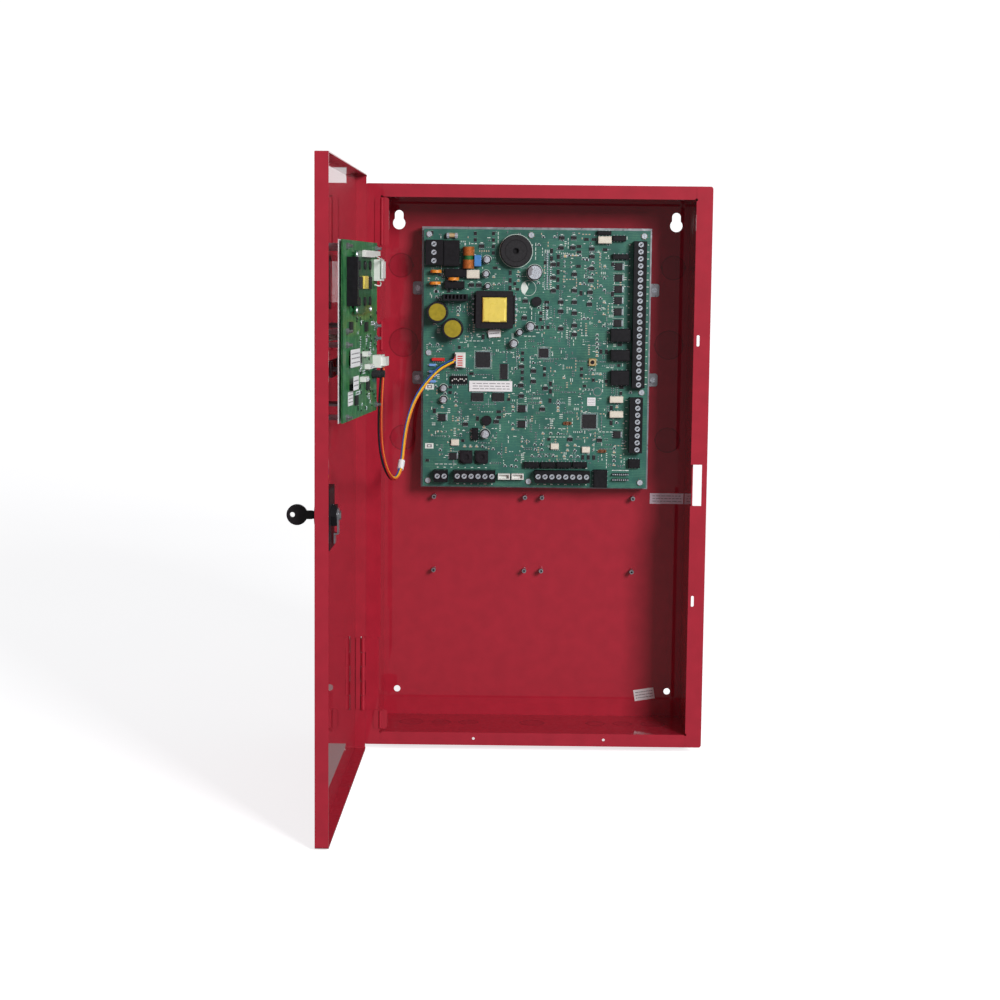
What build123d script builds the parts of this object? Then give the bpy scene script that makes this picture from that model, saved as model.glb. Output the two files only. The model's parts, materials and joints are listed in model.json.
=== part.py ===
from build123d import *
import os
from math import cos, radians, sin, tan

os.makedirs("parts", exist_ok=True)

# ---------------------------------------------------------------- driving dimensions (mm)
SHEET = 1.5                     # cabinet and door steel
BOX_W, BOX_H = 368.3, 632.0     # backbox outside
BOX_D = 104.4                   # wall to the front of the trim frame
FRAME_W, FRAME_H = 399.0, 656.8
OPEN_W, OPEN_H = 361.0, 626.4   # clear opening of the trim frame
DOOR_W, DOOR_H, DOOR_D = 406.4, 672.8, 13.5
DOOR_Z = 2.2                    # the door's middle, above the cabinet's

BOLT_X = 166.5                  # wall fixings, left and right of centre
KEY_Z, KEY_HEAD_R = 286.2, 7.4
KEY_SLOT_R, KEY_RISE = 5.2, 10.3
LOW_HOLE_Z, LOW_HOLE_R = -283.1, 4.0

HINGE_X, HINGE_Y = -200.7, -107.9
HINGE_LEN, HINGE_ZS = 86.0, (214.0, -243.0)
KNUCKLE_R, PIN_R, PIN_PLAY = 2.5, 1.2, 0.06
LEAF_T = 1.0
DOOR_OPEN = 90.85               # rest pose, degrees from closed

LOCK_U, LOCK_Z = 372.5, -9.0    # lock centre on the door
PLUG_R, PLUG_PLAY = 6.0, 0.08   # turning plug of the lock and its clearance

PCB_T = 1.6
BOARD_Y = -36.0                 # component side of the main board
BOARD_X0, BOARD_X1, BOARD_Z0, BOARD_Z1 = -135.0, 133.4, -27.2, 279.0
TRAY_Y, TRAY_T = -29.6, 1.2     # front skin of the tray that carries the board
PITCH = 8.25                    # terminal screws

PANEL_W, PANEL_H, PANEL_Z = 208.6, 181.4, 167.3     # display board on the door
PANEL_U, PANEL_DEPTH, PANEL_TILT = 223.5, -16.8, 4.5

# ---------------------------------------------------------------- reference planes
# Local x runs to the right, local y up and local z to whoever faces the board or door.
WALL = Plane(origin=(0, 0, 0), x_dir=(1, 0, 0), z_dir=(0, -1, 0))
FLOOR = Plane.XY.offset(-BOX_H / 2)
BOARD = WALL.offset(-BOARD_Y)
FLANGE = WALL.offset(BOX_D)
SWING = radians(DOOR_OPEN)
DOOR = Plane(origin=(HINGE_X, HINGE_Y, 0), x_dir=(cos(SWING), -sin(SWING), 0),
             z_dir=(-sin(SWING), -cos(SWING), 0))
LIP = -3.0                      # end of the folded lips, from the hinge axis
SKIN_OUT = LIP + DOOR_D
SKIN_IN = SKIN_OUT - SHEET
LEAN = radians(DOOR_OPEN + PANEL_TILT)
PANEL = Plane(origin=DOOR.from_local_coords((PANEL_U, PANEL_Z, PANEL_DEPTH)),
              x_dir=(-cos(LEAN), sin(LEAN), 0), z_dir=(sin(LEAN), cos(LEAN), 0))
LOW = (Align.CENTER, Align.CENTER, Align.MIN)


def block(x0, x1, y0, y1, depth, base=0.0, mode=Mode.ADD):
    """One box on the current plane, given by its edges, its depth and its base height."""
    with Locations(((x0 + x1) / 2, (y0 + y1) / 2, base)):
        Box(x1 - x0, y1 - y0, depth, align=LOW, mode=mode)


def blocks(places, width, height, depth, base=0.0, mode=Mode.ADD):
    """Equal boxes on the current plane, by their centres."""
    with Locations(*[(x, y, base) for x, y in places]):
        Box(width, height, depth, align=LOW, mode=mode)


def studs(places, radius, depth, base=0.0, mode=Mode.ADD):
    """Equal round studs or holes on the current plane, by their centres."""
    with Locations(*[(x, y, base) for x, y in places]):
        Cylinder(radius, depth, align=LOW, mode=mode)


def cross_row(x, y, count, pitch):
    """Centres of a row that runs to the right."""
    return [(x + i * pitch, y) for i in range(count)]


def down_row(x, y, count, pitch):
    """Centres of a row that runs down."""
    return [(x, y - i * pitch) for i in range(count)]


# ---------------------------------------------------------------- cabinet
WALL_KNOCKOUTS = [(x * side, z, r) for side in (-1, 1)
                  for x, z, r in ((164.0, 236.0, 14.3), (160.5, 143.3, 17.2), (161.0, 28.0, 15.0))]
FLOOR_KNOCKOUTS = [(0.0, 14.3)] + [(x * side, r) for side in (-1, 1)
                                   for x, r in ((146.5, 14.3), (110.0, 11.1), (77.0, 11.1))]
FLOOR_ROW_Y = -45.0
# the notch that lets the lock's cam turn in behind the flange
STRIKE_X1, STRIKE_Z0, STRIKE_Z1 = 193.5, -40.1, 8.1
CAM_ROOM = 9.0

with BuildPart(WALL) as backbox:
    Box(BOX_W, BOX_H, BOX_D - SHEET, align=LOW)
    offset(amount=-SHEET, openings=backbox.faces().sort_by(Axis.Y)[0])
    for x in (-BOLT_X, BOLT_X):
        studs([(x, KEY_Z)], KEY_HEAD_R, SHEET, mode=Mode.SUBTRACT)
        studs([(x, KEY_Z + KEY_RISE)], KEY_SLOT_R, SHEET, mode=Mode.SUBTRACT)
        block(x - KEY_SLOT_R, x + KEY_SLOT_R, KEY_Z, KEY_Z + KEY_RISE, SHEET, mode=Mode.SUBTRACT)
        studs([(x, LOW_HOLE_Z)], LOW_HOLE_R, SHEET, mode=Mode.SUBTRACT)
    for x, z, r in WALL_KNOCKOUTS:
        studs([(x, z)], r, SHEET, mode=Mode.SUBTRACT)
    for x, r in FLOOR_KNOCKOUTS:
        with BuildSketch(FLOOR):
            with Locations((x, FLOOR_ROW_Y)):
                Circle(r)
        extrude(amount=SHEET, mode=Mode.SUBTRACT)
    block(BOX_W / 2 - 2 * SHEET, BOX_W / 2 + 1, STRIKE_Z0, STRIKE_Z1, 20, BOX_D - SHEET - CAM_ROOM,
          mode=Mode.SUBTRACT)

GROOVE = 0.5
with BuildPart(WALL) as knockouts:
    for x, z, r in WALL_KNOCKOUTS:
        studs([(x, z)], r, SHEET / 2)
        studs([(x, z)], r - GROOVE, SHEET)
    for x, r in FLOOR_KNOCKOUTS:
        with BuildSketch(FLOOR):
            with Locations((x, FLOOR_ROW_Y)):
                Circle(r)
        extrude(amount=SHEET / 2)
        with BuildSketch(FLOOR):
            with Locations((x, FLOOR_ROW_Y)):
                Circle(r - GROOVE)
        extrude(amount=SHEET)

HINGE_NOTCH = 3.6
SEAM_W = 0.4                    # groove where the frame's sides meet its top and bottom
with BuildPart() as front_frame:
    with BuildSketch(FLANGE):
        RectangleRounded(FRAME_W, FRAME_H, 3.0)
        Rectangle(OPEN_W, OPEN_H, mode=Mode.SUBTRACT)
        with Locations((STRIKE_X1 - 7, (STRIKE_Z0 + STRIKE_Z1) / 2)):
            Rectangle(14, STRIKE_Z1 - STRIKE_Z0, mode=Mode.SUBTRACT)
        with Locations(*[(-OPEN_W / 2, z) for z in HINGE_ZS]):
            Rectangle(2 * HINGE_NOTCH, HINGE_LEN, mode=Mode.SUBTRACT)
        with Locations((185.6, 152.0), (185.6, -153.0)):
            SlotOverall(13, 3.5, rotation=90, mode=Mode.SUBTRACT)
        with GridLocations(OPEN_W, OPEN_H, 2, 2):
            Circle(1.6, mode=Mode.SUBTRACT)
        with Locations((-70.0, -320.5), (84.0, -320.5)):
            Circle(1.7, mode=Mode.SUBTRACT)
    extrude(amount=-SHEET)
    with BuildSketch(FLANGE):
        with GridLocations(OPEN_W, (FRAME_H + OPEN_H) / 2, 2, 2):
            Rectangle(SEAM_W, (FRAME_H - OPEN_H) / 2)
    extrude(amount=-SEAM_W, mode=Mode.SUBTRACT)

STRAP_W, STRAP_X, BEAD_R = 16.3, -180.4, 1.75
STRAPS = ((257.4, 312.4), (136.6, 170.6), (-309.2, -286.4))
with BuildPart() as flange_straps:
    for z0, z1 in STRAPS:
        with BuildSketch(FLANGE):
            with Locations((STRAP_X, (z0 + z1) / 2)):
                RectangleRounded(STRAP_W, z1 - z0, 3.4)
        extrude(amount=LEAF_T)
        with BuildSketch(Plane.XY.offset(z0 + 1)):
            with Locations((STRAP_X, -BOX_D - LEAF_T)):
                Circle(BEAD_R)
            with Locations((STRAP_X, -BOX_D + 2)):
                Rectangle(STRAP_W, 4, mode=Mode.SUBTRACT)
        extrude(amount=z1 - z0 - 2)

# ---------------------------------------------------------------- hinges
SLICE = HINGE_LEN / 5
FRAME_KNUCKLES = [z + SLICE * k for z in HINGE_ZS for k in (-2, 0, 2)]
DOOR_KNUCKLES = [z + SLICE * k for z in HINGE_ZS for k in (-1, 1)]
KNUCKLE_LEN = SLICE - 0.4
LEAF_X0, LEAF_X1 = HINGE_X + 3.0, -189.0


def knuckle_tubes(heights, bore):
    """Rolled hinge knuckles on the door's axis."""
    with Locations(*[(HINGE_X, HINGE_Y, z) for z in heights]):
        Cylinder(KNUCKLE_R, KNUCKLE_LEN)
        Cylinder(bore, KNUCKLE_LEN + 1, mode=Mode.SUBTRACT)


with BuildPart() as hinge_frame_leaves:
    with Locations(*[((LEAF_X0 + LEAF_X1) / 2, -BOX_D - LEAF_T / 2, z) for z in HINGE_ZS]):
        Box(LEAF_X1 - LEAF_X0, LEAF_T, HINGE_LEN)
    with Locations(*[(HINGE_X + 2.0, -BOX_D - LEAF_T / 2, z) for z in FRAME_KNUCKLES]):
        Box(4.0, LEAF_T, KNUCKLE_LEN)
    with Locations(*[(HINGE_X + 0.8, HINGE_Y + 2.4, z) for z in FRAME_KNUCKLES]):
        Box(1.6, 2.0, KNUCKLE_LEN)
    knuckle_tubes(FRAME_KNUCKLES, PIN_R)

with BuildPart() as hinge_pins:
    with Locations(*[(HINGE_X, HINGE_Y, z) for z in HINGE_ZS]):
        Cylinder(PIN_R, HINGE_LEN)
    with Locations(*[(HINGE_X, HINGE_Y, z + HINGE_LEN / 2) for z in HINGE_ZS]):
        Cylinder(2.0, 1.2, align=LOW)

LEAF_IN, LEAF_OUT = 3.4, SKIN_IN - 0.5
with BuildPart(DOOR) as hinge_door_leaves:
    blocks([(-LEAF_T / 2, z) for z in HINGE_ZS], LEAF_T, HINGE_LEN, LEAF_OUT - LEAF_IN, LEAF_IN)
    blocks([(-LEAF_T / 2, z) for z in DOOR_KNUCKLES], LEAF_T, KNUCKLE_LEN, 2.4, 1.6)
    with BuildSketch(*[Plane.XY.offset(z - KNUCKLE_LEN / 2) for z in DOOR_KNUCKLES]):
        with Locations((HINGE_X, HINGE_Y)):
            Circle(KNUCKLE_R)
    extrude(amount=KNUCKLE_LEN)
    with BuildSketch(*[Plane.XY.offset(z - SLICE) for z in DOOR_KNUCKLES]):
        with Locations((HINGE_X, HINGE_Y)):
            Circle(PIN_R + PIN_PLAY)
    extrude(amount=2 * SLICE, mode=Mode.SUBTRACT)

# ---------------------------------------------------------------- door shell
U0, U1 = -DOOR_W / 2 - HINGE_X, DOOR_W / 2 - HINGE_X
U_MID = (U0 + U1) / 2
WINDOW_U, WINDOW_Z, WINDOW_W, WINDOW_H = 235.0, 216.0, 86.0, 42.0
BUTTON, BUTTON_Z = 14.0, 128.0
BUTTON_US = {"acknowledge_button": 191.0, "silence_button": 219.0, "drill_button": 247.0,
             "reset_button": 275.0}
LIGHTS = cross_row(183.0, 160.0, 6, 20.0)
LIGHT_R = 2.5
LOCK_BODY_R = 9.0

with BuildPart(DOOR) as door_pan:
    with BuildSketch(DOOR.offset(LIP)):
        with Locations((U_MID, DOOR_Z)):
            RectangleRounded(DOOR_W, DOOR_H, 3.0)
    extrude(amount=DOOR_D)
    with BuildSketch(DOOR.offset(LIP)):
        with Locations((U_MID, DOOR_Z)):
            RectangleRounded(DOOR_W - 2 * SHEET, DOOR_H - 2 * SHEET, 1.5)
    extrude(amount=DOOR_D - SHEET, mode=Mode.SUBTRACT)
    with BuildSketch(DOOR.offset(SKIN_IN)):
        with Locations((WINDOW_U, WINDOW_Z)):
            Rectangle(WINDOW_W, WINDOW_H)
        with Locations(*[(u, BUTTON_Z) for u in BUTTON_US.values()]):
            RectangleRounded(BUTTON + 0.6, BUTTON + 0.6, 1.8)
        with Locations(*LIGHTS):
            Circle(LIGHT_R)
        with Locations((LOCK_U, LOCK_Z)):
            Circle(LOCK_BODY_R)
    extrude(amount=SHEET, mode=Mode.SUBTRACT)
    # the notch is open above each hinge for the head of its pin
    blocks([(U0 + SHEET / 2, z + 0.5) for z in HINGE_ZS], SHEET, HINGE_LEN + 1.4, KNUCKLE_R + 0.12 - LIP, LIP,
           mode=Mode.SUBTRACT)
    blocks([(U0 + SHEET / 2, DOOR_Z)], SHEET, DOOR_H, 0.5, LIP, mode=Mode.SUBTRACT)

with BuildPart(DOOR) as display_window:
    blocks([(WINDOW_U, WINDOW_Z)], WINDOW_W, WINDOW_H, SHEET, SKIN_IN)
    blocks([(WINDOW_U, WINDOW_Z)], WINDOW_W + 12, WINDOW_H + 12, 2.0, SKIN_IN - 2.0)

with BuildPart(DOOR) as status_lights:
    studs(LIGHTS, LIGHT_R, SHEET + 0.8, SKIN_IN)
    studs(LIGHTS, LIGHT_R + 1.0, 1.5, SKIN_IN - 1.5)
    studs(LIGHTS, 1.5, 14.0, SKIN_IN - 15.0)

BUTTON_ROOM = 2.0               # between the flange of a button and the door skin, with travel
SWITCH_H, STEM_GAP = 5.0, 1.6
buttons = {}
for name, u in BUTTON_US.items():
    stem_end = PANEL_DEPTH + (u - PANEL_U) * tan(radians(PANEL_TILT)) + PCB_T + SWITCH_H + STEM_GAP
    with BuildPart() as button:
        with BuildSketch(DOOR.offset(SKIN_IN - BUTTON_ROOM)):
            with Locations((u, BUTTON_Z)):
                RectangleRounded(BUTTON, BUTTON, 1.6)
        extrude(amount=SHEET + BUTTON_ROOM + 1.8)
        fillet(button.faces().sort_by(Axis((0, 0, 0), DOOR.z_dir))[-1].edges(), 0.8)
        with BuildSketch(DOOR.offset(SKIN_IN - 2.1)):
            with Locations((u, BUTTON_Z)):
                RectangleRounded(BUTTON + 3, BUTTON + 3, 1.6)
        extrude(amount=2.0)
        with BuildSketch(DOOR.offset(stem_end)):
            with Locations((u, BUTTON_Z)):
                Circle(2.5)
        extrude(amount=SKIN_IN - 1.0 - stem_end)
    buttons[name] = button

# ---------------------------------------------------------------- lock and key
BRACKET = (350.0, 398.0, -41.0, 19.0)
BRACKET_FACE = LIP - 0.2
with BuildPart(DOOR) as lock_bracket:
    block(*BRACKET, SKIN_IN - BRACKET_FACE, BRACKET_FACE)
    block(BRACKET[0] - 1, BRACKET[1] + 1, BRACKET[2] + 1.5, BRACKET[3] - 1.5,
          SKIN_IN - BRACKET_FACE - 1.5, BRACKET_FACE + 1.5, mode=Mode.SUBTRACT)
    studs([(LOCK_U, LOCK_Z)], LOCK_BODY_R, 3, BRACKET_FACE - 1, mode=Mode.SUBTRACT)

NUT_FACE = BRACKET_FACE - 5.0
with BuildPart(DOOR) as lock_body:
    studs([(LOCK_U, LOCK_Z)], LOCK_BODY_R, SKIN_OUT - NUT_FACE, NUT_FACE)
    studs([(LOCK_U, LOCK_Z)], 11.5, 3.0, SKIN_OUT)
    fillet(lock_body.faces().sort_by(Axis((0, 0, 0), DOOR.z_dir))[-1].edges(), 1.0)
    studs([(LOCK_U, LOCK_Z)], PLUG_R + PLUG_PLAY, 40, NUT_FACE - 5, mode=Mode.SUBTRACT)

with BuildPart() as lock_nut:
    with BuildSketch(DOOR.offset(NUT_FACE)):
        with Locations((LOCK_U, LOCK_Z)):
            RegularPolygon(11.6, 6)
            Circle(LOCK_BODY_R, mode=Mode.SUBTRACT)
    extrude(amount=BRACKET_FACE - NUT_FACE)

CAM_T, CAM_W, CAM_STEP = 1.3, 11.0, 3.3
CAM_BASE = NUT_FACE - 0.4 - CAM_T
with BuildPart(DOOR) as lock_plug:
    studs([(LOCK_U, LOCK_Z)], PLUG_R, SKIN_OUT + 3.0 - CAM_BASE - CAM_T, CAM_BASE + CAM_T)
    studs([(LOCK_U, LOCK_Z)], 3.5, 3.6, CAM_BASE - 2.0)
    studs([(LOCK_U, LOCK_Z)], 4.6, 2.4, CAM_BASE - 2.4)
    blocks([(LOCK_U, LOCK_Z)], 2.2, 8.2, 22, SKIN_OUT - 15, mode=Mode.SUBTRACT)

with BuildPart(DOOR) as lock_cam:
    block(LOCK_U - CAM_W / 2, LOCK_U + CAM_W / 2, LOCK_Z - 18.5, LOCK_Z + 6.5, CAM_T, CAM_BASE)
    block(LOCK_U - CAM_W / 2, LOCK_U + CAM_W / 2, LOCK_Z - 18.5, LOCK_Z - 17.2, CAM_STEP + CAM_T, CAM_BASE)
    block(LOCK_U - CAM_W / 2, LOCK_U + CAM_W / 2, LOCK_Z - 27.3, LOCK_Z - 17.2, CAM_T, CAM_BASE + CAM_STEP)
    studs([(LOCK_U, LOCK_Z)], 3.5, 4, CAM_BASE - 1, mode=Mode.SUBTRACT)

KEY_BASE = SKIN_OUT + 3.0
with BuildPart() as key:
    with BuildSketch(Plane(origin=DOOR.from_local_coords((LOCK_U, LOCK_Z, KEY_BASE)),
                           x_dir=DOOR.z_dir, z_dir=DOOR.x_dir)):
        with Locations((-6, 0)):
            Rectangle(16, 7.6)
        with Locations((5.0, 0)):
            Rectangle(8, 7.8)
    extrude(amount=0.95, both=True)
    with BuildSketch(Plane(origin=DOOR.from_local_coords((LOCK_U, LOCK_Z, KEY_BASE)),
                           x_dir=DOOR.z_dir, z_dir=DOOR.x_dir)):
        with Locations((6.5, 0)):
            RectangleRounded(9.0, 8.4, 1.2)
        with Locations((17.5, 0)):
            Circle(10.2)
        with Locations((22.0, 0)):
            Circle(2.5, mode=Mode.SUBTRACT)
    extrude(amount=1.9, both=True)

# ---------------------------------------------------------------- chassis tray and main board
BOARD_SCREWS = [(-128.6, 272.7), (-7.8, 272.7), (126.0, 272.7), (-128.6, 132.7),
                (126.0, 87.7), (-128.6, -20.5), (-7.8, -20.5), (126.0, -20.5)]
SCREW_R, HEAD_R, HEAD_T = 1.6, 3.2, 2.0
EARS = [(-143.5, 209.0), (-143.5, 101.0), (141.5, 209.0), (141.5, 101.0)]
EAR_W, EAR_H = 12.0, 15.6
TRAY_X0, TRAY_X1, TRAY_Z0, TRAY_Z1 = -137.5, 135.5, -29.0, 281.8

with BuildPart(WALL.offset(SHEET)) as chassis_tray:
    tray_rise = -TRAY_Y - SHEET
    block(TRAY_X0, TRAY_X1, TRAY_Z0, TRAY_Z1, tray_rise)
    block(TRAY_X0 + TRAY_T, TRAY_X1 - TRAY_T, TRAY_Z0 + TRAY_T, TRAY_Z1 - TRAY_T, tray_rise - TRAY_T,
          mode=Mode.SUBTRACT)
    with BuildSketch(WALL.offset(SHEET)):
        with Locations(*EARS):
            RectangleRounded(EAR_W, EAR_H, 3.0)
    extrude(amount=TRAY_T)
    studs(EARS, SCREW_R, 5, mode=Mode.SUBTRACT)
    studs(BOARD_SCREWS, SCREW_R, 5, tray_rise - TRAY_T, mode=Mode.SUBTRACT)

with BuildPart(WALL) as chassis_screws:
    studs(EARS, HEAD_R, HEAD_T, SHEET + TRAY_T)
    studs(EARS, SCREW_R, TRAY_T, SHEET)
    studs(BOARD_SCREWS, HEAD_R, HEAD_T, -BOARD_Y)
    studs(BOARD_SCREWS, SCREW_R, -BOARD_Y + TRAY_Y + TRAY_T, -TRAY_Y - TRAY_T)
    blocks(EARS, 4.4, 0.8, 1, SHEET + TRAY_T + HEAD_T - 0.8, mode=Mode.SUBTRACT)
    blocks(BOARD_SCREWS, 0.8, 4.4, 1, -BOARD_Y + HEAD_T - 0.8, mode=Mode.SUBTRACT)

SPARE_POSTS = [(x, z) for x in (-122.0, -11.5, 9.2, 119.7) for z in (-43.0, -133.0)]
POST_R, POST_H, POST_BORE = 2.6, 12.5, 1.25
with BuildPart(WALL) as standoffs:
    studs(BOARD_SCREWS, 3.0, -BOARD_Y + TRAY_Y - PCB_T, -TRAY_Y)
    studs(BOARD_SCREWS, SCREW_R, 20, -TRAY_Y - 5, mode=Mode.SUBTRACT)
    studs(SPARE_POSTS, POST_R, POST_H, SHEET)
    studs(SPARE_POSTS, POST_BORE, POST_H, SHEET + 2.0, mode=Mode.SUBTRACT)

with BuildPart(WALL.offset(-BOARD_Y - PCB_T)) as main_board:
    block(BOARD_X0, BOARD_X1, BOARD_Z0, BOARD_Z1, PCB_T)
    studs(BOARD_SCREWS, SCREW_R, 2 * PCB_T, -0.5, mode=Mode.SUBTRACT)

# ---------------------------------------------------------------- terminals
LOOP_POLES = down_row(121.4, 262.5, 21, PITCH)
SIREN_POLES = down_row(121.0, 77.9, 8, PITCH)
AC_PITCH = 9.8
AC_POLES = down_row(-122.6, 261.0, 3, AC_PITCH)
LOW_POLES = (cross_row(-116.9, -14.0, 2, PITCH) + cross_row(-92.9, -13.8, 6, PITCH)
             + cross_row(3.6, -13.4, 8, PITCH))
TERMINAL_H, WELL_R, WELL = 15.0, 3.4, 2.0


def side_terminals(poles, pitch, body_x0, body_x1):
    """A strip that runs down the board, with a wire entry facing right at each screw."""
    block(body_x0, body_x1, poles[-1][1] - pitch / 2, poles[0][1] + pitch / 2, TERMINAL_H)
    studs(poles, WELL_R, WELL, TERMINAL_H - WELL, mode=Mode.SUBTRACT)
    blocks([(body_x1, z) for x, z in poles], 9.0, pitch - 2.2, 6.4, 3.0, mode=Mode.SUBTRACT)


def low_terminals(poles, z0, z1):
    """A strip along the board's lower edge, with wire entries facing down."""
    block(poles[0][0] - PITCH / 2, poles[-1][0] + PITCH / 2, z0, z1, TERMINAL_H)
    studs(poles, WELL_R, WELL, TERMINAL_H - WELL, mode=Mode.SUBTRACT)
    blocks([(x, z0) for x, z in poles], PITCH - 2.2, 9.0, 6.4, 3.0, mode=Mode.SUBTRACT)


with BuildPart(BOARD) as side_terminal_strips:
    side_terminals(LOOP_POLES, PITCH, 113.5, 128.6)
    side_terminals(SIREN_POLES, PITCH, 111.5, 127.0)

with BuildPart(BOARD) as mains_terminal_block:
    block(-132.3, -111.9, AC_POLES[-1][1] - AC_PITCH / 2, AC_POLES[0][1] + AC_PITCH / 2, TERMINAL_H)
    studs(AC_POLES, WELL_R, WELL, TERMINAL_H - WELL, mode=Mode.SUBTRACT)
    blocks([(-132.3, z) for x, z in AC_POLES], 9.0, AC_PITCH - 2.4, 6.4, 3.0, mode=Mode.SUBTRACT)

with BuildPart(BOARD) as low_terminal_blocks:
    low_terminals(LOW_POLES[:2], -21.0, -7.0)
    low_terminals(LOW_POLES[2:8], -21.0, -7.0)
    low_terminals(LOW_POLES[8:], -20.6, -6.4)

ALL_POLES = LOOP_POLES + SIREN_POLES + AC_POLES + LOW_POLES
with BuildPart(BOARD.offset(TERMINAL_H - WELL)) as terminal_screws:
    studs(ALL_POLES, 3.0, 1.6)
    blocks(ALL_POLES, 0.9, 4.6, 1, 0.9, mode=Mode.SUBTRACT)
    blocks(ALL_POLES, 4.6, 0.9, 1, 0.9, mode=Mode.SUBTRACT)

# ---------------------------------------------------------------- power section
CORE_X, CORE_Z, CORE_W, COIL_W = -50.5, 184.6, 44.0, 29.0
with BuildPart(BOARD) as transformer_core:
    blocks([(CORE_X, CORE_Z)], CORE_W, CORE_W, 22)
    fillet(transformer_core.edges().filter_by(Axis.Y), 1.5)
    blocks([(CORE_X, CORE_Z)], COIL_W, COIL_W, 18, 4, mode=Mode.SUBTRACT)

with BuildPart(BOARD) as transformer_winding:
    blocks([(CORE_X, CORE_Z)], COIL_W, COIL_W, 21.5, 4)
    fillet(transformer_winding.faces().sort_by(Axis.Y)[0].edges(), 3.0)

CHOKE_X, CHOKE_Z, CHOKE_R = -81.8, 245.4, 6.4
with BuildPart(BOARD) as choke:
    blocks([(CHOKE_X, CHOKE_Z)], 11.0, 24.0, 2.0)
    for z, length, radius in ((CHOKE_Z + 7.6, 10.4, CHOKE_R), (CHOKE_Z - 7.6, 10.4, CHOKE_R),
                              (CHOKE_Z, 5, 5.2)):
        with Locations((CHOKE_X, z, 1.4 + CHOKE_R)):
            Cylinder(radius, length, rotation=(90, 0, 0))

with BuildPart(BOARD) as sounder:
    studs([(-25.7, 253.8)], 18.8, 13.5)
    fillet(sounder.edges().filter_by(GeomType.CIRCLE).sort_by(Axis.Y)[0], 1.2)
    studs([(-25.7, 253.8)], 3.4, 6, 9, mode=Mode.SUBTRACT)

CANS = [(-117.9, 181.1, 12.2, 21), (-99.7, 161.7, 12.2, 21), (-3.4, 228.8, 8.8, 16),
        (-70.9, 241.9, 3.9, 12), (-60.0, 243.4, 4.4, 11), (-61.0, 226.6, 3.9, 11), (-58.9, 212.3, 3.2, 9),
        (-7.7, 164.9, 5.0, 11), (-20.3, 157.9, 3.6, 8), (-27.2, 144.6, 4.6, 11),
        (-110.4, 90.7, 4.2, 8), (-110.3, 77.0, 4.2, 8), (-60.3, 36.4, 5.2, 9)]
with BuildPart(BOARD) as capacitor_cans:
    for x, z, r, height in CANS:
        studs([(x, z)], r, height)
        studs([(x, z)], r + 0.4, 0.8, 1.6)
    fillet(capacitor_cans.edges().filter_by(GeomType.CIRCLE).filter_by_position(
        Axis.Y, BOARD_Y - 22, BOARD_Y - 7.5), 0.5)

VARISTORS = [(-120.2, 228.9), (-121.2, 215.1), (-99.4, 220.2)]
with BuildPart(BOARD) as varistors:
    for x, z in VARISTORS:
        with Locations((x, z, 7.6)):
            Cylinder(6.6, 3.4, rotation=(90, 0, 0))
    blocks([(x + side, z) for x, z in VARISTORS for side in (-2.5, 2.5)], 1.0, 1.0, 3.0)

with BuildPart(BOARD) as heatsink:
    block(-110.9, -82.5, 194.6, 202.4, 20)
    fins = cross_row(-107.6, 200.0, 6, 4.36)
    blocks(fins, 2.6, 6.4, 16, 4, mode=Mode.SUBTRACT)

COILS = [(-82.9, 8.5), (-64.2, 8.5)]
BEADS = [(-0.5, 194.5), (-58.5, 52.5)]
with BuildPart(BOARD) as inductors:
    studs(COILS, 7.6, 6.5)
    studs(COILS, 3.0, 3, 5.0, mode=Mode.SUBTRACT)
    studs(BEADS, 5.8, 5.0)

# ---------------------------------------------------------------- relays and other housings
DARK_HOUSINGS = [(-111.6, -92.6, 235.2, 265.6, 13.0), (-109.6, -84.2, 222.4, 232.2, 8.5),
                 (-110.2, -86.4, 208.8, 217.6, 8.5), (87.6, 111.6, 148.0, 163.4, 10.5),
                 (88.0, 110.8, 125.4, 138.4, 10.5), (88.5, 110.4, 96.4, 114.0, 10.5),
                 (70.0, 86.4, -26.4, -5.2, 8.5), (111.5, 125.4, -2.4, 7.8, 7.0),
                 (88.2, 104.0, 266.6, 273.0, 8.0), (70.2, 86.6, 273.6, 278.4, 6.0),
                 (88.6, 108.0, 245.2, 251.4, 6.0), (-76.0, -68.7, 29.0, 43.3, 6.0),
                 (-13.6, 4.8, -3.8, 3.1, 6.0), (6.5, 24.3, -3.6, 3.3, 6.0),
                 (25.3, 43.1, -3.4, 3.5, 6.0), (44.7, 62.1, -3.2, 3.7, 6.0)]
with BuildPart(BOARD) as relay_housings:
    for x0, x1, z0, z1, height in DARK_HOUSINGS:
        block(x0, x1, z0, z1, height)
    chamfer(relay_housings.faces().filter_by(Axis.Y).filter_by_position(
        Axis.Y, BOARD_Y - 14, BOARD_Y - 2).edges(), 0.5)

LIGHT_HOUSINGS = [(71.2, 87.0, 263.7, 272.0, 8.0), (88.0, 104.0, 75.4, 83.0, 7.0),
                  (88.2, 104.2, 57.6, 65.2, 7.0),
                  (-101.1, -91.5, 22.0, 29.2, 4.0), (18.4, 28.0, 18.6, 25.6, 4.0),
                  (55.8, 65.4, 14.9, 21.9, 4.0),
                  (-84.0, -68.8, 221.1, 231.1, 8.0), (-56.4, -42.6, 151.8, 161.0, 4.0)]
with BuildPart(BOARD) as signal_relays:
    for x0, x1, z0, z1, height in LIGHT_HOUSINGS:
        block(x0, x1, z0, z1, height)
    chamfer(signal_relays.faces().filter_by(Axis.Y).filter_by_position(
        Axis.Y, BOARD_Y - 9, BOARD_Y - 2).edges(), 0.5)

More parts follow.
